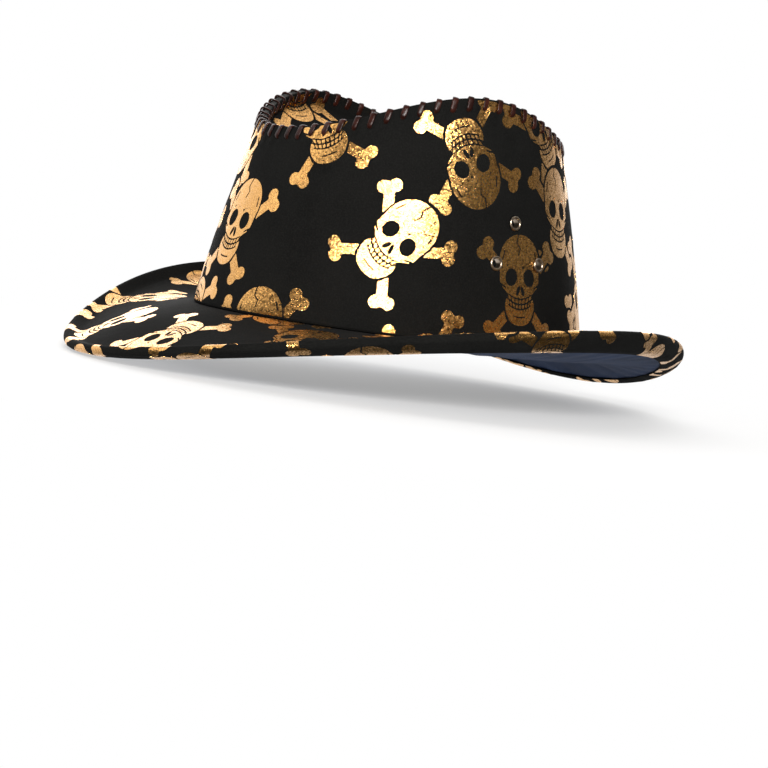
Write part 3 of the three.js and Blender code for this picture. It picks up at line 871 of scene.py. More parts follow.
def brim_foam():
    """The foam between cover and lining, out to the wire."""
    s = sizes()
    inset, depth = wall_insets()["cover_flange"], brim_depths()
    around = angles(240)
    p = brim_profile(around)
    stops = brim_stops(p)
    end = stops[1] + s.lip_width - s.wire / 2 - 1.0 * MM
    thick = depth["foam"] + s.foam

    def face(level):
        # Rows at one depth, from the crown out under the sheet and on into the lip.
        start = wall_point(around, -level + 0 * around, inset + s.gap)
        sheet = [brim_inner(p, v + 0 * around, level) for v in np.linspace(0.03, 1, 20)]
        rest = [brim_face(p, around, stops[0] + (end - stops[0]) * v, level) for v in np.linspace(0.1, 1, 8)]
        return [start] + sheet + rest

    return carried("brim_foam_core", face(thick) + face(depth["foam"])[::-1])


def edge_rod(around, radius, sides):
    """Rows of a rod along the middle of the rolled edge."""
    p = brim_profile(around)
    out, up = wire_centre(p)
    rows = []
    for t in angles(sides) + math.pi / sides:
        xy = p["seam"] + p["outward"] * (out + radius * np.cos(t))[:, None]
        rows.append(np.concatenate([xy, (up + radius * np.sin(t))[:, None]], -1))
    return rows


def edge_wire():
    """The wire in the rolled edge, its two ends a little apart at the back."""
    gap = END_GAP / (sizes().brim_length / 2)
    around = np.linspace(math.pi + gap, 3 * math.pi - gap, 400)
    return carried("edge_wire", capped(edge_rod(around, sizes().wire / 2, 12)), wrap=False)


def wire_sleeve():
    """A short tube round the wire's ends."""
    s = sizes()
    reach = SLEEVE_REACH / (s.brim_length / 2)
    around = np.linspace(math.pi - reach, math.pi + reach, 60)
    bore = s.wire / 2 + s.gap
    outer = np.stack(edge_rod(around, bore + SLEEVE_WALL, 24))
    inner = np.stack(edge_rod(around, bore, 24))
    grid = np.concatenate([outer.transpose(1, 0, 2), inner.transpose(1, 0, 2)[::-1]])
    return carried("wire_crimp_sleeve", list(grid))


# ---------------------------------------------------------------- inside the head opening


def band(name, heights, near, far, start, stop, count):
    """An open band inside the head opening: rows up at one inset and down at another."""
    around = np.linspace(start, stop, count)
    up = [wall_point(around, z + 0 * around, near) for z in heights]
    down = [wall_point(around, z + 0 * around, far) for z in heights[::-1]]
    return carried(name, capped(up + down), wrap=False)


def sweatband():
    """The sweatband, its two ends a little apart at the back."""
    s = sizes()
    near = wall_insets()["band"]
    gap = END_GAP / (s.head_length / 2)
    heights = np.linspace(-brim_depths()["under"], s.sweatband_height, 24)
    return band("sweatband_tape", heights, near, near + s.sweatband, math.pi + gap, 3 * math.pi - gap, 420)


def joint_tape():
    """The short tape over the sweatband's two ends."""
    s = sizes()
    near = wall_insets()["head"] + s.gap
    far = near + JOINT_TAPE_THICKNESS
    reach = JOINT_TAPE_REACH / (s.head_length / 2)
    heights = np.linspace(*JOINT_TAPE_HEIGHTS, 16)
    return band("sweatband_back_tape", heights, near, far, math.pi - reach, math.pi + reach, 24)


def seam_stitches():
    """The thread that holds the sweatband: it swells at each stitch and thins between."""
    s = sizes()
    around = angles(2400)
    girth = math.pi * (s.head_length + s.head_width) / 2
    beat = around * round(girth / STITCH_LENGTH)
    thin, thick = THREAD_RADII
    radius = thin + (thick - thin) * np.abs(np.sin(beat / 2)) ** 0.6
    height = STITCH_HEIGHT + 0 * around
    centre = wall_point(around, height, wall_insets()["head"] + s.gap + thick)
    normal = wall_normal(around, height)
    rows = []
    for t in angles(8):
        point = centre + normal * (radius * np.cos(t))[:, None]
        point[:, 2] += radius * np.sin(t)
        rows.append(point)
    return carried("sweatband_stitches", rows)


# ---------------------------------------------------------------- printed pattern

# Where the printed motifs lie: on the crown angle in degrees, height in mm and turn in
# degrees; on the brim angle, running length from the seam in mm and turn; on the tip x, y
# in mm and turn.
CROWN_MOTIFS = (
    (57, 44, -40), (-4, 42, -4), (77.5, 83, 203), (97.5, 33, 2), (118.5, 67, -2), (23, 94, 26),
    (20.5, -7, 12), (110, 107, 30), (140, 26, 172), (156, 82, 14), (175, 36, -150), (194, 84, -24),
    (213, 30, 8), (232, 84, 168), (251, 34, -165), (270, 88, 20), (288, 34, 30), (304, 82, -170),
    (322, 34, -12), (339, 84, 150), (126, -4, 150), (71.5, -17.6, 200), (196, -9, 35),
    (340, -8, 160), (269, -9, 200),
)
BRIM_MOTIFS = (
    (-50.6, 35, 12), (-17.9, 40, -8), (11.1, 46, 172), (41, 36, -20), (72, 40, 160), (101, 38, 14),
    (131, 40, -30), (160, 42, 176), (190, 40, 8), (220, 38, -160), (250, 40, 20), (281, 36, 184),
    (-34, 84, 160), (-3, 88, 20), (26, 86, 200), (56, 84, 10), (87, 84, 190), (116, 84, -20),
    (146, 86, 170), (175, 88, 10), (205, 86, 185), (235, 84, -15), (266, 84, 165), (296, 84, 15),
    (26, -8, -160), (57, -8, 30), (87, -6, 180), (146, -8, 190), (205, -8, 20), (266, -8, -10),
)
TIP_MOTIFS = (
    (6, -18, 12), (-8, 38, 190), (50, 10, 165), (-49, 6, -8), (36, 58, 30), (-44, 60, 200),
    (40, -50, -25), (2, -72, 200), (-4, 78, 10), (70, -22, 80), (-76, -34, 100),
    (72, 38, 250), (-70, 38, 280),
)


def oval(x, y, cx, cy, rx, ry, turn=0.0):
    """Signed distance, roughly, to an oval turned by an angle."""
    u = ((x - cx) * math.cos(turn) + (y - cy) * math.sin(turn)) / rx
    v = ((y - cy) * math.cos(turn) - (x - cx) * math.sin(turn)) / ry
    return (np.hypot(u, v) - 1) * min(rx, ry)


def bar(x, y, start, end, half):
    """Signed distance to a bar with round ends."""
    (ax, ay), (bx, by) = start, end
    t = ((x - ax) * (bx - ax) + (y - ay) * (by - ay)) / ((bx - ax) ** 2 + (by - ay) ** 2)
    t = np.clip(t, 0, 1)
    return np.hypot(x - ax - t * (bx - ax), y - ay - t * (by - ay)) - half


def soft_union(a, b, blend):
    """Union of two fields, rounded where they meet."""
    mix = np.clip(0.5 + (b - a) / (2 * blend), 0, 1)
    return b + (a - b) * mix - blend * mix * (1 - mix)


def skull_outline(x, y):
    """A cranium, cheeks and upper jaw that run into each other, and a chin that hangs free
    under the corners of the mouth. The skull is drawn 50 units high."""
    cranium = oval(x, y, 0, 8.6, 15.6, 16.4)
    cheeks = oval(x, y, 0, -1.8, 14.4, 6.6)
    upper = oval(x, y, 0, -7.5, 9.4, 8.5)
    face = soft_union(soft_union(cranium, cheeks, 4.5), upper, 2.5)
    chin = np.maximum(oval(x, y, 0, -14.6, 11.4, 10.4), y + 9.4 - 0.09 * np.abs(x) ** 1.5)
    chin = soft_union(chin, oval(x, y, 0, -21.4, 7.6, 3.6), 2.0)
    return soft_union(face, chin, 1.0)


def skull_lines(x, y):
    """The parts left unprinted: lines of the grin, jaw and teeth, the sockets, brows, nose,
    temples and cheekbones, and a crack in the forehead."""
    side = np.abs(x)
    grin = y + 13.6 - 0.032 * x**2
    brow = np.maximum(oval(side, y, 6.9, 1.6, 6.4, 7.0, 0.35), 0.6 - oval(side, y, 6.9, 1.2, 6.0, 6.4, 0.35))
    cuts = [
        np.maximum(np.abs(grin) - 0.45, side - 10.6),
        np.maximum(np.abs(grin - 2.9) - 0.42, side - 9.2),
        np.maximum(np.abs(grin + 2.9) - 0.42, side - 9.2),
        np.maximum(np.abs(y + 20.8 - 0.02 * x**2) - 0.4, side - 4.6),
        oval(side, y, 6.9, 1.2, 4.4, 5.0, 0.35),
        np.maximum(brow, 4.2 - y - 0.2 * side),
        oval(side, y, 1.7, -6.2, 1.25, 2.9, 0.38),
        bar(side, y, (13.2, 10.5), (11.6, 15.6), 0.45),
        bar(side, y, (11.3, -4.6), (14.8, -2.6), 0.45),
        bar(x, y, (-1.2, 25.2), (-2.6, 20.2), 0.45),
        bar(x, y, (-2.6, 20.2), (-0.2, 17.4), 0.42),
        bar(x, y, (-0.2, 17.4), (-1.6, 13.4), 0.4),
    ]
    for place in (1.3, 3.9, 6.5, 8.8):
        cuts.append(np.maximum(np.abs(side - place - 0.04 * grin * place) - 0.38, np.abs(grin) - 2.9))
    return np.min(cuts, axis=0)


def crossed_bones(x, y):
    """Two bars with two round lobes at each end; the second stops short of the first."""
    bones = []
    for way in (-1, 1):
        low, high = np.array([-19.5 * way, -28.5]), np.array([24.5 * way, 15.5])
        bone = bar(x, y, low, high, 2.7 + 0.015 * np.abs(x))
        along = (high - low) / np.linalg.norm(high - low)
        across = np.array([-along[1], along[0]])
        for end, out in ((low, -1), (high, 1)):
            for lobe in (-1, 1):
                cx, cy = end + along * out * (0.8 + 0.5 * lobe * way) + across * lobe * 3.5
                bone = soft_union(bone, oval(x, y, cx, cy, 3.6, 3.6), 1.1)
        bones.append(bone)
    return np.minimum(bones[0], np.maximum(bones[1], 1.0 - bones[0]))


def drawn_unit():
    """How long one unit of the drawn skull is on the cloth."""
    return sizes().motif / DRAWN_SKULL


def motif(x, y):
    """Signed distance to a plain skull over two crossed bones that stop short of it."""
    unit = drawn_unit()
    x, y = x / unit, y / unit
    outline = skull_outline(x, y)
    skull = np.maximum(outline, -skull_lines(x, y))
    return np.minimum(skull, np.maximum(crossed_bones(x, y), 1.1 - outline)) * unit


class Patch:
    """A stretch of cloth that takes the print: how its own coordinates turn into a place
    on the hat, how far that lies inside the cloth's borders, and the printed motifs."""

    def __init__(self, name, motifs, place, local, border, surface):
        self.name, self.motifs, self.place = name, motifs, place
        self.local, self.border, self.surface = local, border, surface


def print_field(patch, number, near, x, y):
    """Signed distance to what one motif prints, less the motifs before it that lie near and
    the cloth's borders, with the places on the hat it was taken at."""
    first, second = patch.place(patch.motifs[number], x, y)
    value = np.maximum(motif(x, y), patch.border(first, second))
    for other in near:
        value = np.maximum(value, CLEAR_MOTIF - motif(*patch.local(patch.motifs[other], first, second)))
    return value, first, second


def outline_points(gx, gy, value):
    """Where the outline crosses the grid's lines, and every third grid point well inside."""
    found = []
    for ahead, behind, dx, dy in (
        (np.s_[:, 1:], np.s_[:, :-1], PATTERN_STEP, 0),
        (np.s_[1:], np.s_[:-1], 0, PATTERN_STEP),
    ):
        a, b = value[behind], value[ahead]
        hit = (a < 0) != (b < 0)
        t = np.clip(a[hit] / (a[hit] - b[hit]), 0.06, 0.94)
        found.append(np.stack([gx[behind][hit] + dx * t, gy[behind][hit] + dy * t], -1))
    inside = np.zeros(value.shape, bool)
    inside[::3, ::3] = value[::3, ::3] < -0.75 * PATTERN_STEP
    return np.concatenate(found + [np.stack([gx[inside], gy[inside]], -1)])


def joined(spots, printed):
    """Points joined by a Delaunay net, less the triangles that aren't printed."""
    net = delaunay_2d_cdt([Vector(v) for v in spots / MM], [], [], 0, 1e-5)
    points = np.array([tuple(v) for v in net[0]]) * MM
    faces = np.array([f for f in net[2] if len(f) == 3], np.int64)
    middle = points[faces].mean(1)
    faces = faces[printed(middle[:, 0], middle[:, 1])]
    used = np.unique(faces)
    back = np.full(len(points), -1)
    back[used] = np.arange(len(used))
    return points[used], back[faces]


def closed_film(high, low, faces):
    """Triangles of a film between two like sets of points: top, bottom and the walls along
    each edge that only one triangle has."""
    count = len(high)
    a, b, c = (high[faces[:, k]] for k in range(3))
    inward = (np.cross(b - a, c - a) * (a - low[faces[:, 0]])).sum(-1) < 0
    faces = faces.copy()
    faces[inward] = faces[inward][:, ::-1]
    edges = np.concatenate([faces[:, [0, 1]], faces[:, [1, 2]], faces[:, [2, 0]]])
    code = edges[:, 0] * count + edges[:, 1]
    start, end = edges[~np.isin(edges[:, 1] * count + edges[:, 0], code)].T
    lower = np.stack([end, start, start + count], -1)
    upper = np.stack([end, start + count, end + count], -1)
    return [faces, faces[:, ::-1] + count, lower, upper]


def film_of(patch):
    """The print of one patch as one closed film. Each motif is sampled on a square grid and
    joined into a net, whose points are set on the cloth at the film's two heights."""
    reach = DRAWN_REACH * drawn_unit()
    ticks = np.arange(-reach, reach + PATTERN_STEP, PATTERN_STEP)
    gx, gy = np.meshgrid(ticks, ticks, indexing="xy")
    points, faces, total = [], [], 0
    centres = [patch.surface(*patch.place(v, np.zeros(1), np.zeros(1)), 0)[0] for v in patch.motifs]
    for number, centre in enumerate(centres):
        near = [k for k in range(number) if np.linalg.norm(centres[k] - centre) < 2 * reach]
        value = print_field(patch, number, near, gx, gy)[0]
        if (value < -0.2 * MM).sum() < 40:
            continue
        spots, net = joined(
            outline_points(gx, gy, value),
            lambda x, y: print_field(patch, number, near, x, y)[0] < 0,
        )
        _, first, second = print_field(patch, number, near, *spots.T)
        low, high = (patch.surface(first, second, lift) for lift in FILM)
        points += [high, low]
        faces += [part + total for part in closed_film(high, low, net)]
        total += 2 * len(high)
    return new_mesh(patch.name, np.concatenate(points), np.concatenate(faces))


def turned(entry, x, y, back=False):
    """Turns a motif's own axes by its angle, or back again."""
    t = math.radians(-entry[2] if back else entry[2])
    return x * math.cos(t) - y * math.sin(t), x * math.sin(t) + y * math.cos(t)


def wrapped(angle):
    """The same angle between minus and plus half a turn."""
    return (angle + math.pi) % FULL_TURN - math.pi


def girth_at(angle, height):
    """Running length round the wall for each radian, at an angle and height."""
    turn = 0.01
    ends = wall_surface(angle + turn, height) - wall_surface(angle - turn, height)
    return np.linalg.norm(ends, axis=-1) / (2 * turn)


def crown_patch():
    """The crown's side, printed by running length round the wall and by height."""

    def place(entry, x, y):
        # The angle is the motif's own plus the way round over the wall's girth there.
        a, b = turned(entry, x, y)
        height = entry[1] * MM + b
        start = math.radians(entry[0]) + 0 * a
        angle = start + a / girth_at(start, np.clip(height, 0, None))
        return angle, height

    def local(entry, angle, height):
        # The same way back: the difference in angle times the girth.
        start = math.radians(entry[0]) + 0 * angle
        a = wrapped(angle - start) * girth_at(start, np.clip(height, 0, None))
        return turned(entry, a, height - entry[1] * MM, back=True)

    seats = eyelet_seats()

    def border(angle, height):
        # Clear of the brim seam, the top edge, the back seam and the eyelets.
        value = np.maximum(CLEAR_SEAM - height, height - top_height(angle) + CLEAR_EDGE)
        back = np.abs(wrapped(angle - math.pi)) * girth_at(angle, np.clip(height, 0, None))
        value = np.maximum(value, CLEAR_SEAM - back)
        for _, at, z, _, _ in seats:
            far = np.hypot(wrapped(angle - at) * sizes().head_width / 2, height - z)
            value = np.maximum(value, CLEAR_EYELET - far)
        return value

    def surface(angle, height, lift):
        # The print lies on the cloth's own relief.
        return crown_face(angle, np.clip(height, 0, None), -lift)

    return Patch("crown_side_print", CROWN_MOTIFS, place, local, border, surface)


def locate(spoke, x, y):
    """Angle and reach at which a spoke of the hat passes through a point of its plan, by
    halving the half turn that holds it. Both sides of the plan are alike."""
    low, high = 0 * x, 0 * x + math.pi
    right = np.abs(x)
    for _ in range(30):
        middle = (low + high) / 2
        start, way = spoke(middle)
        turn = way[..., 0] * (y - start[..., 1]) - way[..., 1] * (right - start[..., 0])
        low, high = np.where(turn > 0, middle, low), np.where(turn > 0, high, middle)
    middle = (low + high) / 2
    start, way = spoke(middle)
    reach = (right - start[..., 0]) * way[..., 0] + (y - start[..., 1]) * way[..., 1]
    return np.where(x < 0, -middle, middle), reach


def brim_spoke(angle):
    """Start and direction, in plan, of the brim's line from the seam to the edge."""
    seam = wall_surface(angle, 0 * angle)[..., :2]
    outward = edge_point(angle)[..., :2] - seam
    return seam, outward / np.linalg.norm(outward, axis=-1, keepdims=True)


def plan_patch(name, motifs, spoke, centre, border, surface):
    """A patch that is printed in plan, its spokes unrolled to their running length."""

    def place(entry, x, y):
        # The point turned by the motif's tilt and moved to its centre, then found again as
        # an angle and a reach along a spoke.
        a, b = turned(entry, x, y)
        (cx, cy), tilt = centre(entry)
        px = cx + a * math.cos(tilt) - b * math.sin(tilt)
        py = cy + a * math.sin(tilt) + b * math.cos(tilt)
        return locate(spoke, px, py)

    def local(entry, angle, reach):
        # The same way back: the spoke's point less the centre, turned back by the tilt.
        start, way = spoke(angle)
        (cx, cy), tilt = centre(entry)
        px = start[..., 0] + way[..., 0] * reach - cx
        py = start[..., 1] + way[..., 1] * reach - cy
        a = px * math.cos(tilt) + py * math.sin(tilt)
        b = py * math.cos(tilt) - px * math.sin(tilt)
        return turned(entry, a, b, back=True)

    return Patch(name, motifs, place, local, border, surface)


def brim_patch():
    """The brim's top, fold, lip and hem, printed by running length from the seam."""

    def centre(entry):
        # Out along the brim's spoke at the entry's angle; the tilt stands square to it.
        seam, way = brim_spoke(np.array([math.radians(entry[0])]))
        point = seam[0] + way[0] * entry[1] * MM
        return point, math.atan2(way[0][1], way[0][0]) + math.pi / 2

    def border(angle, reach):
        # Clear of the seam at the crown and of the hem's end.
        end = brim_stops(brim_profile(angle))[6]
        return np.maximum(CLEAR_BRIM_SEAM - reach, reach - end + CLEAR_HEM)

    def surface(angle, reach, lift):
        return brim_face(brim_profile(angle), angle, np.clip(reach, 0, None), -lift)

    return plan_patch("brim_print", BRIM_MOTIFS, brim_spoke, centre, border, surface)


def tip_line(angle):
    """Start, in plan, of the tip's line from the dent to the foot of its margin, and the
    way to its end."""
    start = tip_point(angle, 0 * angle, 0)[..., :2]
    return start, tip_point(angle, 1 + 0 * angle, 0)[..., :2] - start


def tip_spoke(angle):
    """Start and direction of the tip's line."""
    start, way = tip_line(angle)
    return start, way / np.linalg.norm(way, axis=-1, keepdims=True)


def tip_reach(angle):
    """Length of the tip's line."""
    return np.linalg.norm(tip_line(angle)[1], axis=-1)


def tip_patch():
    """The sunk tip, printed in plan, and most of its standing margin."""

    def centre(entry):
        return (entry[0] * MM, entry[1] * MM), 0.0

    def border(angle, reach):
        # Up most of the standing margin.
        return reach - tip_reach(angle) - MARGIN_PRINTED * sizes().tip_margin

    def surface(angle, reach, lift):
        # Past the margin's foot the reach climbs it.
        foot = tip_reach(angle)
        up = np.clip((reach - foot) / sizes().tip_margin, 0, 1)
        return tip_point(angle, np.clip(reach / foot, 0, 1) + up, -lift)

    return plan_patch("crown_tip_print", TIP_MOTIFS, tip_spoke, centre, border, surface)


# ---------------------------------------------------------------- materials


class Shader:
    """Short ways to lay out a material's nodes."""

    def __init__(self, name):
        self.material = bpy.data.materials.new(name)
        self.material.use_nodes = True
        self.tree = self.material.node_tree
        self.body = self.tree.nodes["Principled BSDF"]
        self.output = self.tree.nodes["Material Output"]

    def node(self, kind, links=None, **values):
        """A new node: its settings, and for each input a link or a constant."""
        made = self.tree.nodes.new(kind)
        for key, value in values.items():
            setattr(made, key, value)
        for socket, source in (links or {}).items():
            target = made.inputs[socket]
            if isinstance(source, bpy.types.NodeSocket):
                self.tree.links.new(source, target)
            else:
                target.default_value = source
        return made

    def place(self, source="Object"):
        """Where a point lies: on the object, or on the cloth's own map."""
        return self.node("ShaderNodeTexCoord").outputs[source]

    def noise(self, scale, detail=3.0, rough=0.5):
        """Soft blotches; the scale counts them in a metre."""
        links = {"Vector": self.place(), "Scale": scale, "Detail": detail, "Roughness": rough}
        return self.node("ShaderNodeTexNoise", links).outputs["Fac"]

    def cells(self, scale):
        """Small cells, each of its own colour."""
        links = {"Vector": self.place(), "Scale": scale}
        return self.node("ShaderNodeTexVoronoi", links).outputs["Color"]

    def vector(self, operation, a, b=None):
        """A step of reckoning on vectors."""
        links = {0: a} if b is None else {0: a, 1: b}
        return self.node("ShaderNodeVectorMath", links, operation=operation)

    def ribs(self, where, scale, distortion, **values):
        """Even bands along one way of the cloth."""
        links = {"Vector": where, "Scale": scale, "Distortion": distortion}
        return self.node("ShaderNodeTexWave", links, **values).outputs["Fac"]

    def span(self, value, low, high, to_low, to_high):
        """A value carried from one range to another."""
        links = {"Value": value, "From Min": low, "From Max": high, "To Min": to_low, "To Max": to_high}
        return self.node("ShaderNodeMapRange", links).outputs["Result"]

    def math(self, operation, a, b):
        """A step of reckoning on values."""
        return self.node("ShaderNodeMath", {0: a, 1: b}, operation=operation).outputs["Value"]

    def mix(self, fac, a, b):
        """One colour over another by a factor."""
        made = self.node("ShaderNodeMix", {"Factor": fac}, data_type="RGBA")
        for socket, value in ((made.inputs[6], a), (made.inputs[7], b)):
            if isinstance(value, bpy.types.NodeSocket):
                self.tree.links.new(value, socket)
            else:
                socket.default_value = value
        return made.outputs[2]

    def set(self, **values):
        """Links or constants for the finish itself, under short names."""
        names = {
            "base": "Base Color",
            "rough": "Roughness",
            "metal": "Metallic",
            "coat": "Coat Weight",
            "coat_rough": "Coat Roughness",
            "sheen": "Sheen Weight",
            "sheen_rough": "Sheen Roughness",
            "sheen_tint": "Sheen Tint",
            "specular": "Specular IOR Level",
            "normal": "Normal",
        }
        for key, value in values.items():
            target = self.body.inputs[names[key]]
            if isinstance(value, bpy.types.NodeSocket):
                self.tree.links.new(value, target)
            else:
                target.default_value = value

    def bump(self, height, distance, strength=1.0, below=None):
        """Fine relief, which may lie over a coarser one."""
        links = {"Height": height, "Distance": distance, "Strength": strength}
        if below is not None:
            links["Normal"] = below
        return self.node("ShaderNodeBump", links).outputs["Normal"]


def scaled(tone, factor):
    """A colour made lighter or darker."""
    return tuple(min(1.0, v * factor) for v in tone[:3]) + (1.0,)


def cloth_material():
    """Black brushed cloth: a fine nap over a coarser uneven relief, with slow changes of tone."""
    k = Shader("Black brushed cloth")
    tone = tuple(colours().cloth)
    slow, fine = k.noise(38, 4), k.noise(1500, 2, 0.7)
    base = k.mix(k.span(slow, 0.3, 0.7, 0, 1), scaled(tone, 0.75), scaled(tone, 1.35))
    base = k.mix(k.span(fine, 0.42, 0.72, 0, 0.5), base, scaled(tone, 2.6))
    nap = k.bump(fine, 0.00012, 0.8)
    worn = k.bump(k.noise(160, 5, 0.6), 0.0005, 0.35, nap)
    k.set(base=base, rough=k.span(slow, 0.3, 0.7, 0.85, 0.98), specular=0.05, normal=worn)
    k.set(sheen=0.014, sheen_rough=0.35, sheen_tint=(0.8, 0.8, 0.8, 1))
    return k.material


def foil_material():
    """Gold foil on nap: small flakes that tilt each their own way, a little brown where it
    is thin, dark cracks and pinholes where the cloth shows through."""
    k = Shader("Gold foil print")
    bright, shade, cloth = (tuple(v) for v in (colours().foil, colours().foil_shade, colours().cloth))
    slow, middle, fine = k.noise(30, 3), k.noise(700, 4, 0.6), k.noise(2600, 3, 0.7)
    base = k.mix(k.span(slow, 0.35, 0.7, 0.05, 0.3), bright, shade)
    base = k.mix(k.span(fine, 0.5, 0.75, 0, 0.7), base, shade)
    hole = k.math("MAXIMUM", k.span(middle, 0.68, 0.72, 0, 1), k.span(fine, 0.68, 0.74, 0, 1))
    base = k.mix(hole, base, scaled(cloth, 1.2))
    flake = k.vector("SUBTRACT", k.cells(2600), (0.5, 0.5, 0.5))
    tilt = k.vector("SCALE", flake.outputs["Vector"])
    tilt.inputs["Scale"].default_value = FLAKE_TILT
    straight = k.bump(k.noise(1500, 4, 0.7), 0.0002, 0.5)
    tilted = k.vector("ADD", straight, tilt.outputs["Vector"])
    facing = k.vector("NORMALIZE", tilted.outputs["Vector"])
    rough = k.math("MAXIMUM", k.span(middle, 0.35, 0.7, 0.22, 0.34), k.span(hole, 0, 1, 0, 0.9))
    k.set(base=base, metal=k.span(hole, 0, 1, 1, 0), rough=rough, normal=facing.outputs["Vector"])
    return k.material


def lace_material():
    """Glossy dark brown lace with fine grain along its surface."""
    k = Shader("Brown lace")
    tone = tuple(colours().lace)
    base = k.mix(k.span(k.noise(240, 4), 0.35, 0.7, 0, 1), scaled(tone, 0.55), scaled(tone, 1.7))
    grain = k.bump(k.noise(700, 4, 0.6), 0.0003, 0.45)
    k.set(base=base, rough=0.36, specular=0.16, coat=0.05, coat_rough=0.12, normal=grain)
    return k.material


def lining_material():
    """Navy cloth with a fine weave across and along it."""
    k = Shader("Navy lining")
    tone = tuple(colours().lining)
    cloth = k.place("UV")
    weft = k.ribs(cloth, LINING_WEAVE, 0.6, bands_direction="X")
    warp = k.ribs(cloth, LINING_WEAVE, 0.6, bands_direction="Y")
    weave = k.math("MULTIPLY", weft, warp)
    base = k.mix(k.span(k.noise(50, 4), 0.3, 0.7, 0, 1), scaled(tone, 0.75), scaled(tone, 1.3))
    k.set(base=base, rough=0.75, specular=0.2, sheen=0.06, sheen_rough=0.4, sheen_tint=(0.4, 0.5, 0.9, 1))
    k.set(normal=k.bump(weave, 0.00012, 0.6, k.bump(k.noise(300, 3), 0.0004, 0.25)))
    return k.material


def plain_material(name, tone, rough, metal=0.0, grain=900.0, depth=0.0002):
    """A plain finish with slow changes of tone and a fine grain."""
    k = Shader(name)
    base = k.mix(k.span(k.noise(90, 4), 0.3, 0.7, 0, 1), scaled(tone, 0.82), scaled(tone, 1.18))
    k.set(base=base, rough=rough, metal=metal, normal=k.bump(k.noise(grain, 4, 0.6), depth, 0.4))
    return k.material


def twill_material(name, tone):
    """Ribbed tape: slanting ribs on the cloth's own map."""
    k = Shader(name)
    slant = k.node("ShaderNodeMapping", {"Vector": k.place("UV"), "Rotation": (0, 0, TWILL_SLANT)})
    ribs = k.ribs(slant.outputs["Vector"], TWILL_RIBS, 0.4)
    base = k.mix(ribs, scaled(tone, 0.7), scaled(tone, 1.5))
    k.set(base=base, rough=0.78, sheen=0.15, sheen_rough=0.4, normal=k.bump(ribs, 0.0003, 0.6))
    return k.material


def shared(name, make):
    """A material by name, made once."""
    return bpy.data.materials.get(name) or make()


def cloth():
    """The cloth of the crown and the brim."""
    return shared("Black brushed cloth", cloth_material)


def fleece():
    """The stiffener of the crown's side and tip. Its near-black tone also paints the shade seen through the
    eyelet holes.
    """
    name = "Stiffener fleece"
    return shared(name, lambda: plain_material(name, tuple(colours().fleece), rough=0.95))


# ---------------------------------------------------------------- operators


class HAT_OT_crown_side(bpy.types.Operator):
    """Build the crown's side: printed cloth and its stiffener, with the eyelets' holes"""

    bl_idname = "hat.crown_side"
    bl_label = "Crown Side"

    def execute(self, context):
        inset = wall_insets()
        outer = wall_shell("crown_side_cloth", 0, sizes().cover, count=560, rough=1)
        pierce(outer)
        finish_mesh(outer, cloth(), ["crown_side_cover"])
        inner = wall_shell("crown_side_fleece", inset["fleece"], inset["inside"], count=280, rough=3)
        pierce(inner)
        finish_mesh(inner, fleece(), ["crown_side_interlining"])
        return {"FINISHED"}


class HAT_OT_crown_tip(bpy.types.Operator):
    """Build the sunk tip of the crown: printed cloth and its stiffener"""

    bl_idname = "hat.crown_tip"
    bl_label = "Crown Tip"

    def execute(self, context):
        s = sizes()
        outer = tip_shell("crown_tip_cloth", 0, s.cover, count=420, steps=46)
        finish_mesh(outer, cloth(), ["crown_tip_cover"])
        near = s.cover + s.gap
        inner = tip_shell("crown_tip_fleece", near, near + s.interlining, count=240, steps=24)
        finish_mesh(inner, fleece(), ["crown_tip_interlining"])
        return {"FINISHED"}


class HAT_OT_crown_lace(bpy.types.Operator):
    """Build the lace that is whip-stitched over the crown's top edge"""

    bl_idname = "hat.crown_lace"
    bl_label = "Crown Lace"

    def execute(self, context):
        finish_mesh(crown_lace(), lace_material(), ["crown_lace"])
        return {"FINISHED"}


class HAT_OT_eyelets(bpy.types.Operator):
    """Build the six eyelets in the crown's sides"""

    bl_idname = "hat.eyelets"
    bl_label = "Eyelets"

    def execute(self, context):
        tone = tuple(colours().brass)
        metal = plain_material("Aged brass", tone, rough=0.34, metal=1.0, grain=1600.0, depth=0.0001)
        for name, _, _, place, axis in eyelet_seats():
            piece = eyelet(name + "_turned", place, axis)
            finish_mesh(piece, metal, [name], math.radians(50))
        return {"FINISHED"}


class HAT_OT_brim_cloth(bpy.types.Operator):
    """Build the brim's printed cloth with its turned-up lip and hem"""

    bl_idname = "hat.brim_cloth"
    bl_label = "Brim Cloth"

    def execute(self, context):
        finish_mesh(brim_cloth(), cloth(), ["brim_cover"])
        return {"FINISHED"}


class HAT_OT_brim_inside(bpy.types.Operator):
    """Build the brim's lining, foam, wire and the wire's sleeve"""

    bl_idname = "hat.brim_inside"
    bl_label = "Brim Lining, Foam and Wire"

    def execute(self, context):
        finish_mesh(brim_lining(), lining_material(), ["brim_lining"])
        foam = plain_material("Brim foam", tuple(colours().foam), rough=0.95, grain=700.0, depth=0.0005)
        finish_mesh(brim_foam(), foam, ["brim_foam"])
        steel = plain_material("Spring steel", tuple(colours().steel), rough=0.35, metal=1.0)
        finish_mesh(edge_wire(), steel, ["brim_wire"])
        finish_mesh(wire_sleeve(), steel, ["wire_sleeve"])
        return {"FINISHED"}


class HAT_OT_sweatband(bpy.types.Operator):
    """Build the sweatband, the tape over its joint and its stitches"""

    bl_idname = "hat.sweatband"
    bl_label = "Sweatband"

    def execute(self, context):
        tape = twill_material("Sweatband twill", tuple(colours().tape))
        finish_mesh(sweatband(), tape, ["sweatband"])
        finish_mesh(joint_tape(), tape, ["sweatband_joint_tape"])
        thread = plain_material("Black thread", tuple(colours().thread), rough=0.6)
        finish_mesh(seam_stitches(), thread, ["seam_thread"])
        return {"FINISHED"}


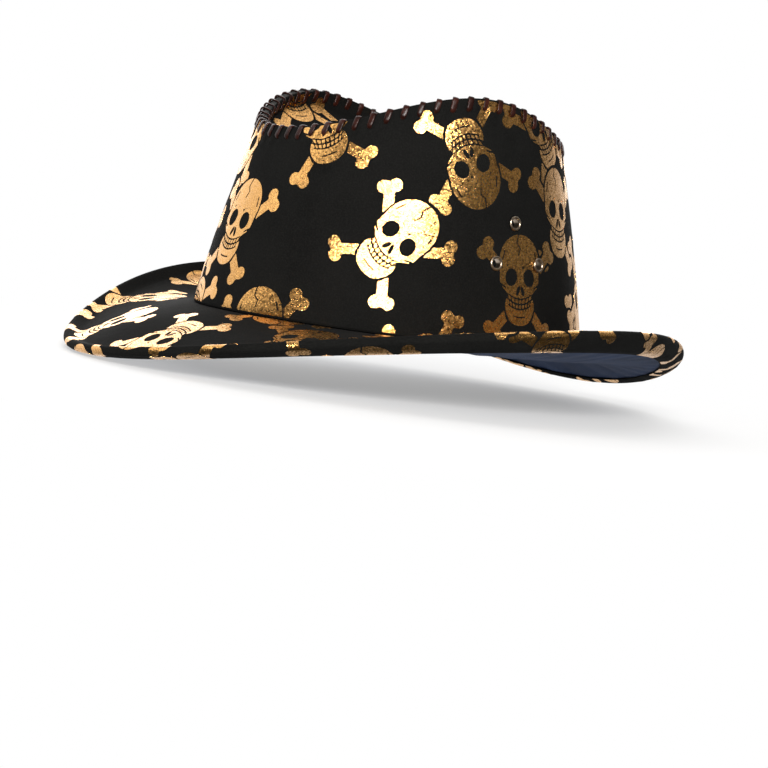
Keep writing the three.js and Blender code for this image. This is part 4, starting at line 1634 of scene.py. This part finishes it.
class HAT_OT_print(bpy.types.Operator):
    """Print the gold pattern on the crown's side, its tip and the brim"""

    bl_idname = "hat.print"
    bl_label = "Gold Print"

    def execute(self, context):
        foil = foil_material()
        for patch in (crown_patch(), tip_patch(), brim_patch()):
            film = film_of(patch)
            if len(film.data.polygons) < 1000:
                raise RuntimeError(patch.name + " has hardly any print")
            film.data.materials.append(foil)
            film.data.shade_smooth()
            film.data.set_sharp_from_angle(angle=math.radians(60))
            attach(film, "root")
        return {"FINISHED"}


class HAT_OT_stage(bpy.types.Operator):
    """Set up the camera, the lights, the floor and the surroundings"""

    bl_idname = "hat.stage"
    bl_label = "Stage"

    def execute(self, context):
        camera = bpy.data.objects.new("Camera", bpy.data.cameras.new("Camera"))
        context.scene.collection.objects.link(camera)
        context.scene.camera = camera
        camera.data.sensor_fit = "HORIZONTAL"
        camera.data.sensor_width = 36
        camera.data.lens = CAMERA_LENS
        camera.data.clip_start, camera.data.clip_end = 0.05, 20
        camera.matrix_world = camera_place(**CAMERA_VIEW)
        for name, settings in LAMPS.items():
            lamp(name, *settings)
        surroundings(context.scene.world or bpy.data.worlds.new("World"))
        floor()
        context.scene.view_settings.view_transform = "Standard"
        return {"FINISHED"}


def camera_place(azimuth, elevation, roll, shift):
    """Camera matrix from the way it looks back, its roll, and the origin's place before
    it in mm: right, down and away."""
    az, el, ro = (math.radians(v) for v in (azimuth, elevation, roll))
    back = np.array([math.sin(az) * math.cos(el), -math.cos(az) * math.cos(el), math.sin(el)])
    right = np.cross(-back, [0, 0, 1])
    right /= np.linalg.norm(right)
    up = np.cross(right, -back)
    over = right * math.cos(ro) + up * math.sin(ro)
    upright = up * math.cos(ro) - right * math.sin(ro)
    turn = np.array([over, -upright, -back])
    place = -turn.T @ (np.array(shift) * MM)
    matrix = Matrix.Identity(4)
    for column, axis in enumerate((over, upright, back)):
        for row in range(3):
            matrix[row][column] = axis[row]
    for row in range(3):
        matrix[row][3] = place[row]
    return matrix


def lamp(name, angle, away, size, power, tone):
    """An area lamp that looks at the crown from an azimuth and elevation."""
    az, el = (math.radians(v) for v in angle)
    way = Vector((math.sin(az) * math.cos(el), -math.cos(az) * math.cos(el), math.sin(el)))
    light = bpy.data.lights.new(name, "AREA")
    light.shape, (light.size, light.size_y) = "RECTANGLE", size
    light.energy, light.color = power, tone
    obj = bpy.data.objects.new(name, light)
    obj.visible_camera = False
    bpy.context.scene.collection.objects.link(obj)
    facing = way.to_track_quat("Z", "Y").to_matrix().to_4x4()
    obj.matrix_world = Matrix.Translation(way * away + Vector((0, 0, LAMPS_AIM))) @ facing
    obj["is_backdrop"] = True


def surroundings(world):
    """A white backdrop for the camera. Everything else sees a sky that is bright behind
    the hat and overhead, and dark on the camera's side."""
    bpy.context.scene.world = world
    world.use_nodes = True
    tree = world.node_tree
    tree.nodes.clear()
    place = tree.nodes.new("ShaderNodeTexCoord")
    axis = tree.nodes.new("ShaderNodeVectorMath")
    axis.operation = "DOT_PRODUCT"
    axis.inputs[1].default_value = SKY_BRIGHT_WAY
    ramp = tree.nodes.new("ShaderNodeMapRange")
    for socket, value in SKY_RAMP.items():
        ramp.inputs[socket].default_value = value
    soft, white = tree.nodes.new("ShaderNodeBackground"), tree.nodes.new("ShaderNodeBackground")
    white.inputs["Strength"].default_value = 1.0
    white.inputs["Color"].default_value = (1, 1, 1, 1)
    soft.inputs["Color"].default_value = (1, 1, 1, 1)
    ray, mix = tree.nodes.new("ShaderNodeLightPath"), tree.nodes.new("ShaderNodeMixShader")
    output = tree.nodes.new("ShaderNodeOutputWorld")
    for source, target in (
        (place.outputs["Generated"], axis.inputs[0]),
        (axis.outputs["Value"], ramp.inputs["Value"]),
        (ramp.outputs["Result"], soft.inputs["Strength"]),
        (ray.outputs["Is Camera Ray"], mix.inputs["Fac"]),
        (soft.outputs["Background"], mix.inputs[1]),
        (white.outputs["Background"], mix.inputs[2]),
        (mix.outputs["Shader"], output.inputs["Surface"]),
    ):
        tree.links.new(source, target)


def floor():
    """A pale round floor just under the hat. It fades to the backdrop's white with the
    distance from the hat, so that no horizon shows, and isn't seen from below or in the
    foil."""
    mesh = bpy.data.meshes.new("floor")
    work = bmesh.new()
    bmesh.ops.create_circle(work, cap_ends=True, radius=6, segments=96)
    work.to_mesh(mesh)
    work.free()
    obj = bpy.data.objects.new("floor", mesh)
    obj.location.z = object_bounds()[0][2] - 0.5 * MM
    bpy.context.scene.collection.objects.link(obj)
    k = Shader("Studio floor")
    k.set(base=tuple(colours().floor), rough=0.8)
    far = k.vector("LENGTH", k.place()).outputs["Value"]
    white = k.node("ShaderNodeEmission", {"Color": (1, 1, 1, 1), "Strength": 1.0})
    links = {0: k.span(far, *FLOOR_FADE, FLOOR_GLOW, 1), 1: k.body.outputs[0], 2: white.outputs[0]}
    above = k.node("ShaderNodeMixShader", links).outputs[0]
    below = k.node("ShaderNodeBsdfTransparent").outputs[0]
    back = k.node("ShaderNodeNewGeometry").outputs["Backfacing"]
    seen = k.node("ShaderNodeMixShader", {0: back, 1: above, 2: below})
    k.tree.links.new(seen.outputs[0], k.output.inputs[0])
    mesh.materials.append(k.material)
    obj.visible_glossy = False
    obj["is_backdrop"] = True


class HAT_PT_panel(bpy.types.Panel):
    """The hat's sizes, colours and pieces in the sidebar"""

    bl_idname = "HAT_PT_panel"
    bl_label = "Costume Hat"
    bl_space_type = "VIEW_3D"
    bl_region_type = "UI"
    bl_category = "Costume Hat"

    def draw(self, context):
        layout = self.layout
        for piece in PIECES:
            layout.operator(piece.bl_idname)
        for group in (context.scene.hat_sizes, context.scene.hat_colours):
            box = layout.box()
            for name in group.__annotations__:
                box.prop(group, name)


PIECES = (
    HAT_OT_crown_side,
    HAT_OT_crown_tip,
    HAT_OT_crown_lace,
    HAT_OT_eyelets,
    HAT_OT_brim_cloth,
    HAT_OT_brim_inside,
    HAT_OT_sweatband,
    HAT_OT_print,
    HAT_OT_stage,
)
CLASSES = (HatSizes, HatColours, *PIECES, HAT_PT_panel)


def register():
    """Registers the classes and gives the scene its sizes and colours."""
    for item in CLASSES:
        bpy.utils.register_class(item)
    bpy.types.Scene.hat_sizes = bpy.props.PointerProperty(type=HatSizes)
    bpy.types.Scene.hat_colours = bpy.props.PointerProperty(type=HatColours)


def unregister():
    """Takes the sizes, the colours and the classes away again."""
    del bpy.types.Scene.hat_colours
    del bpy.types.Scene.hat_sizes
    for item in reversed(CLASSES):
        bpy.utils.unregister_class(item)


def main():
    """Registers the classes, then makes every piece and the stage."""
    register()
    for piece in PIECES:
        group, name = piece.bl_idname.split(".")
        getattr(getattr(bpy.ops, group), name)()


if __name__ == "__main__":
    main()
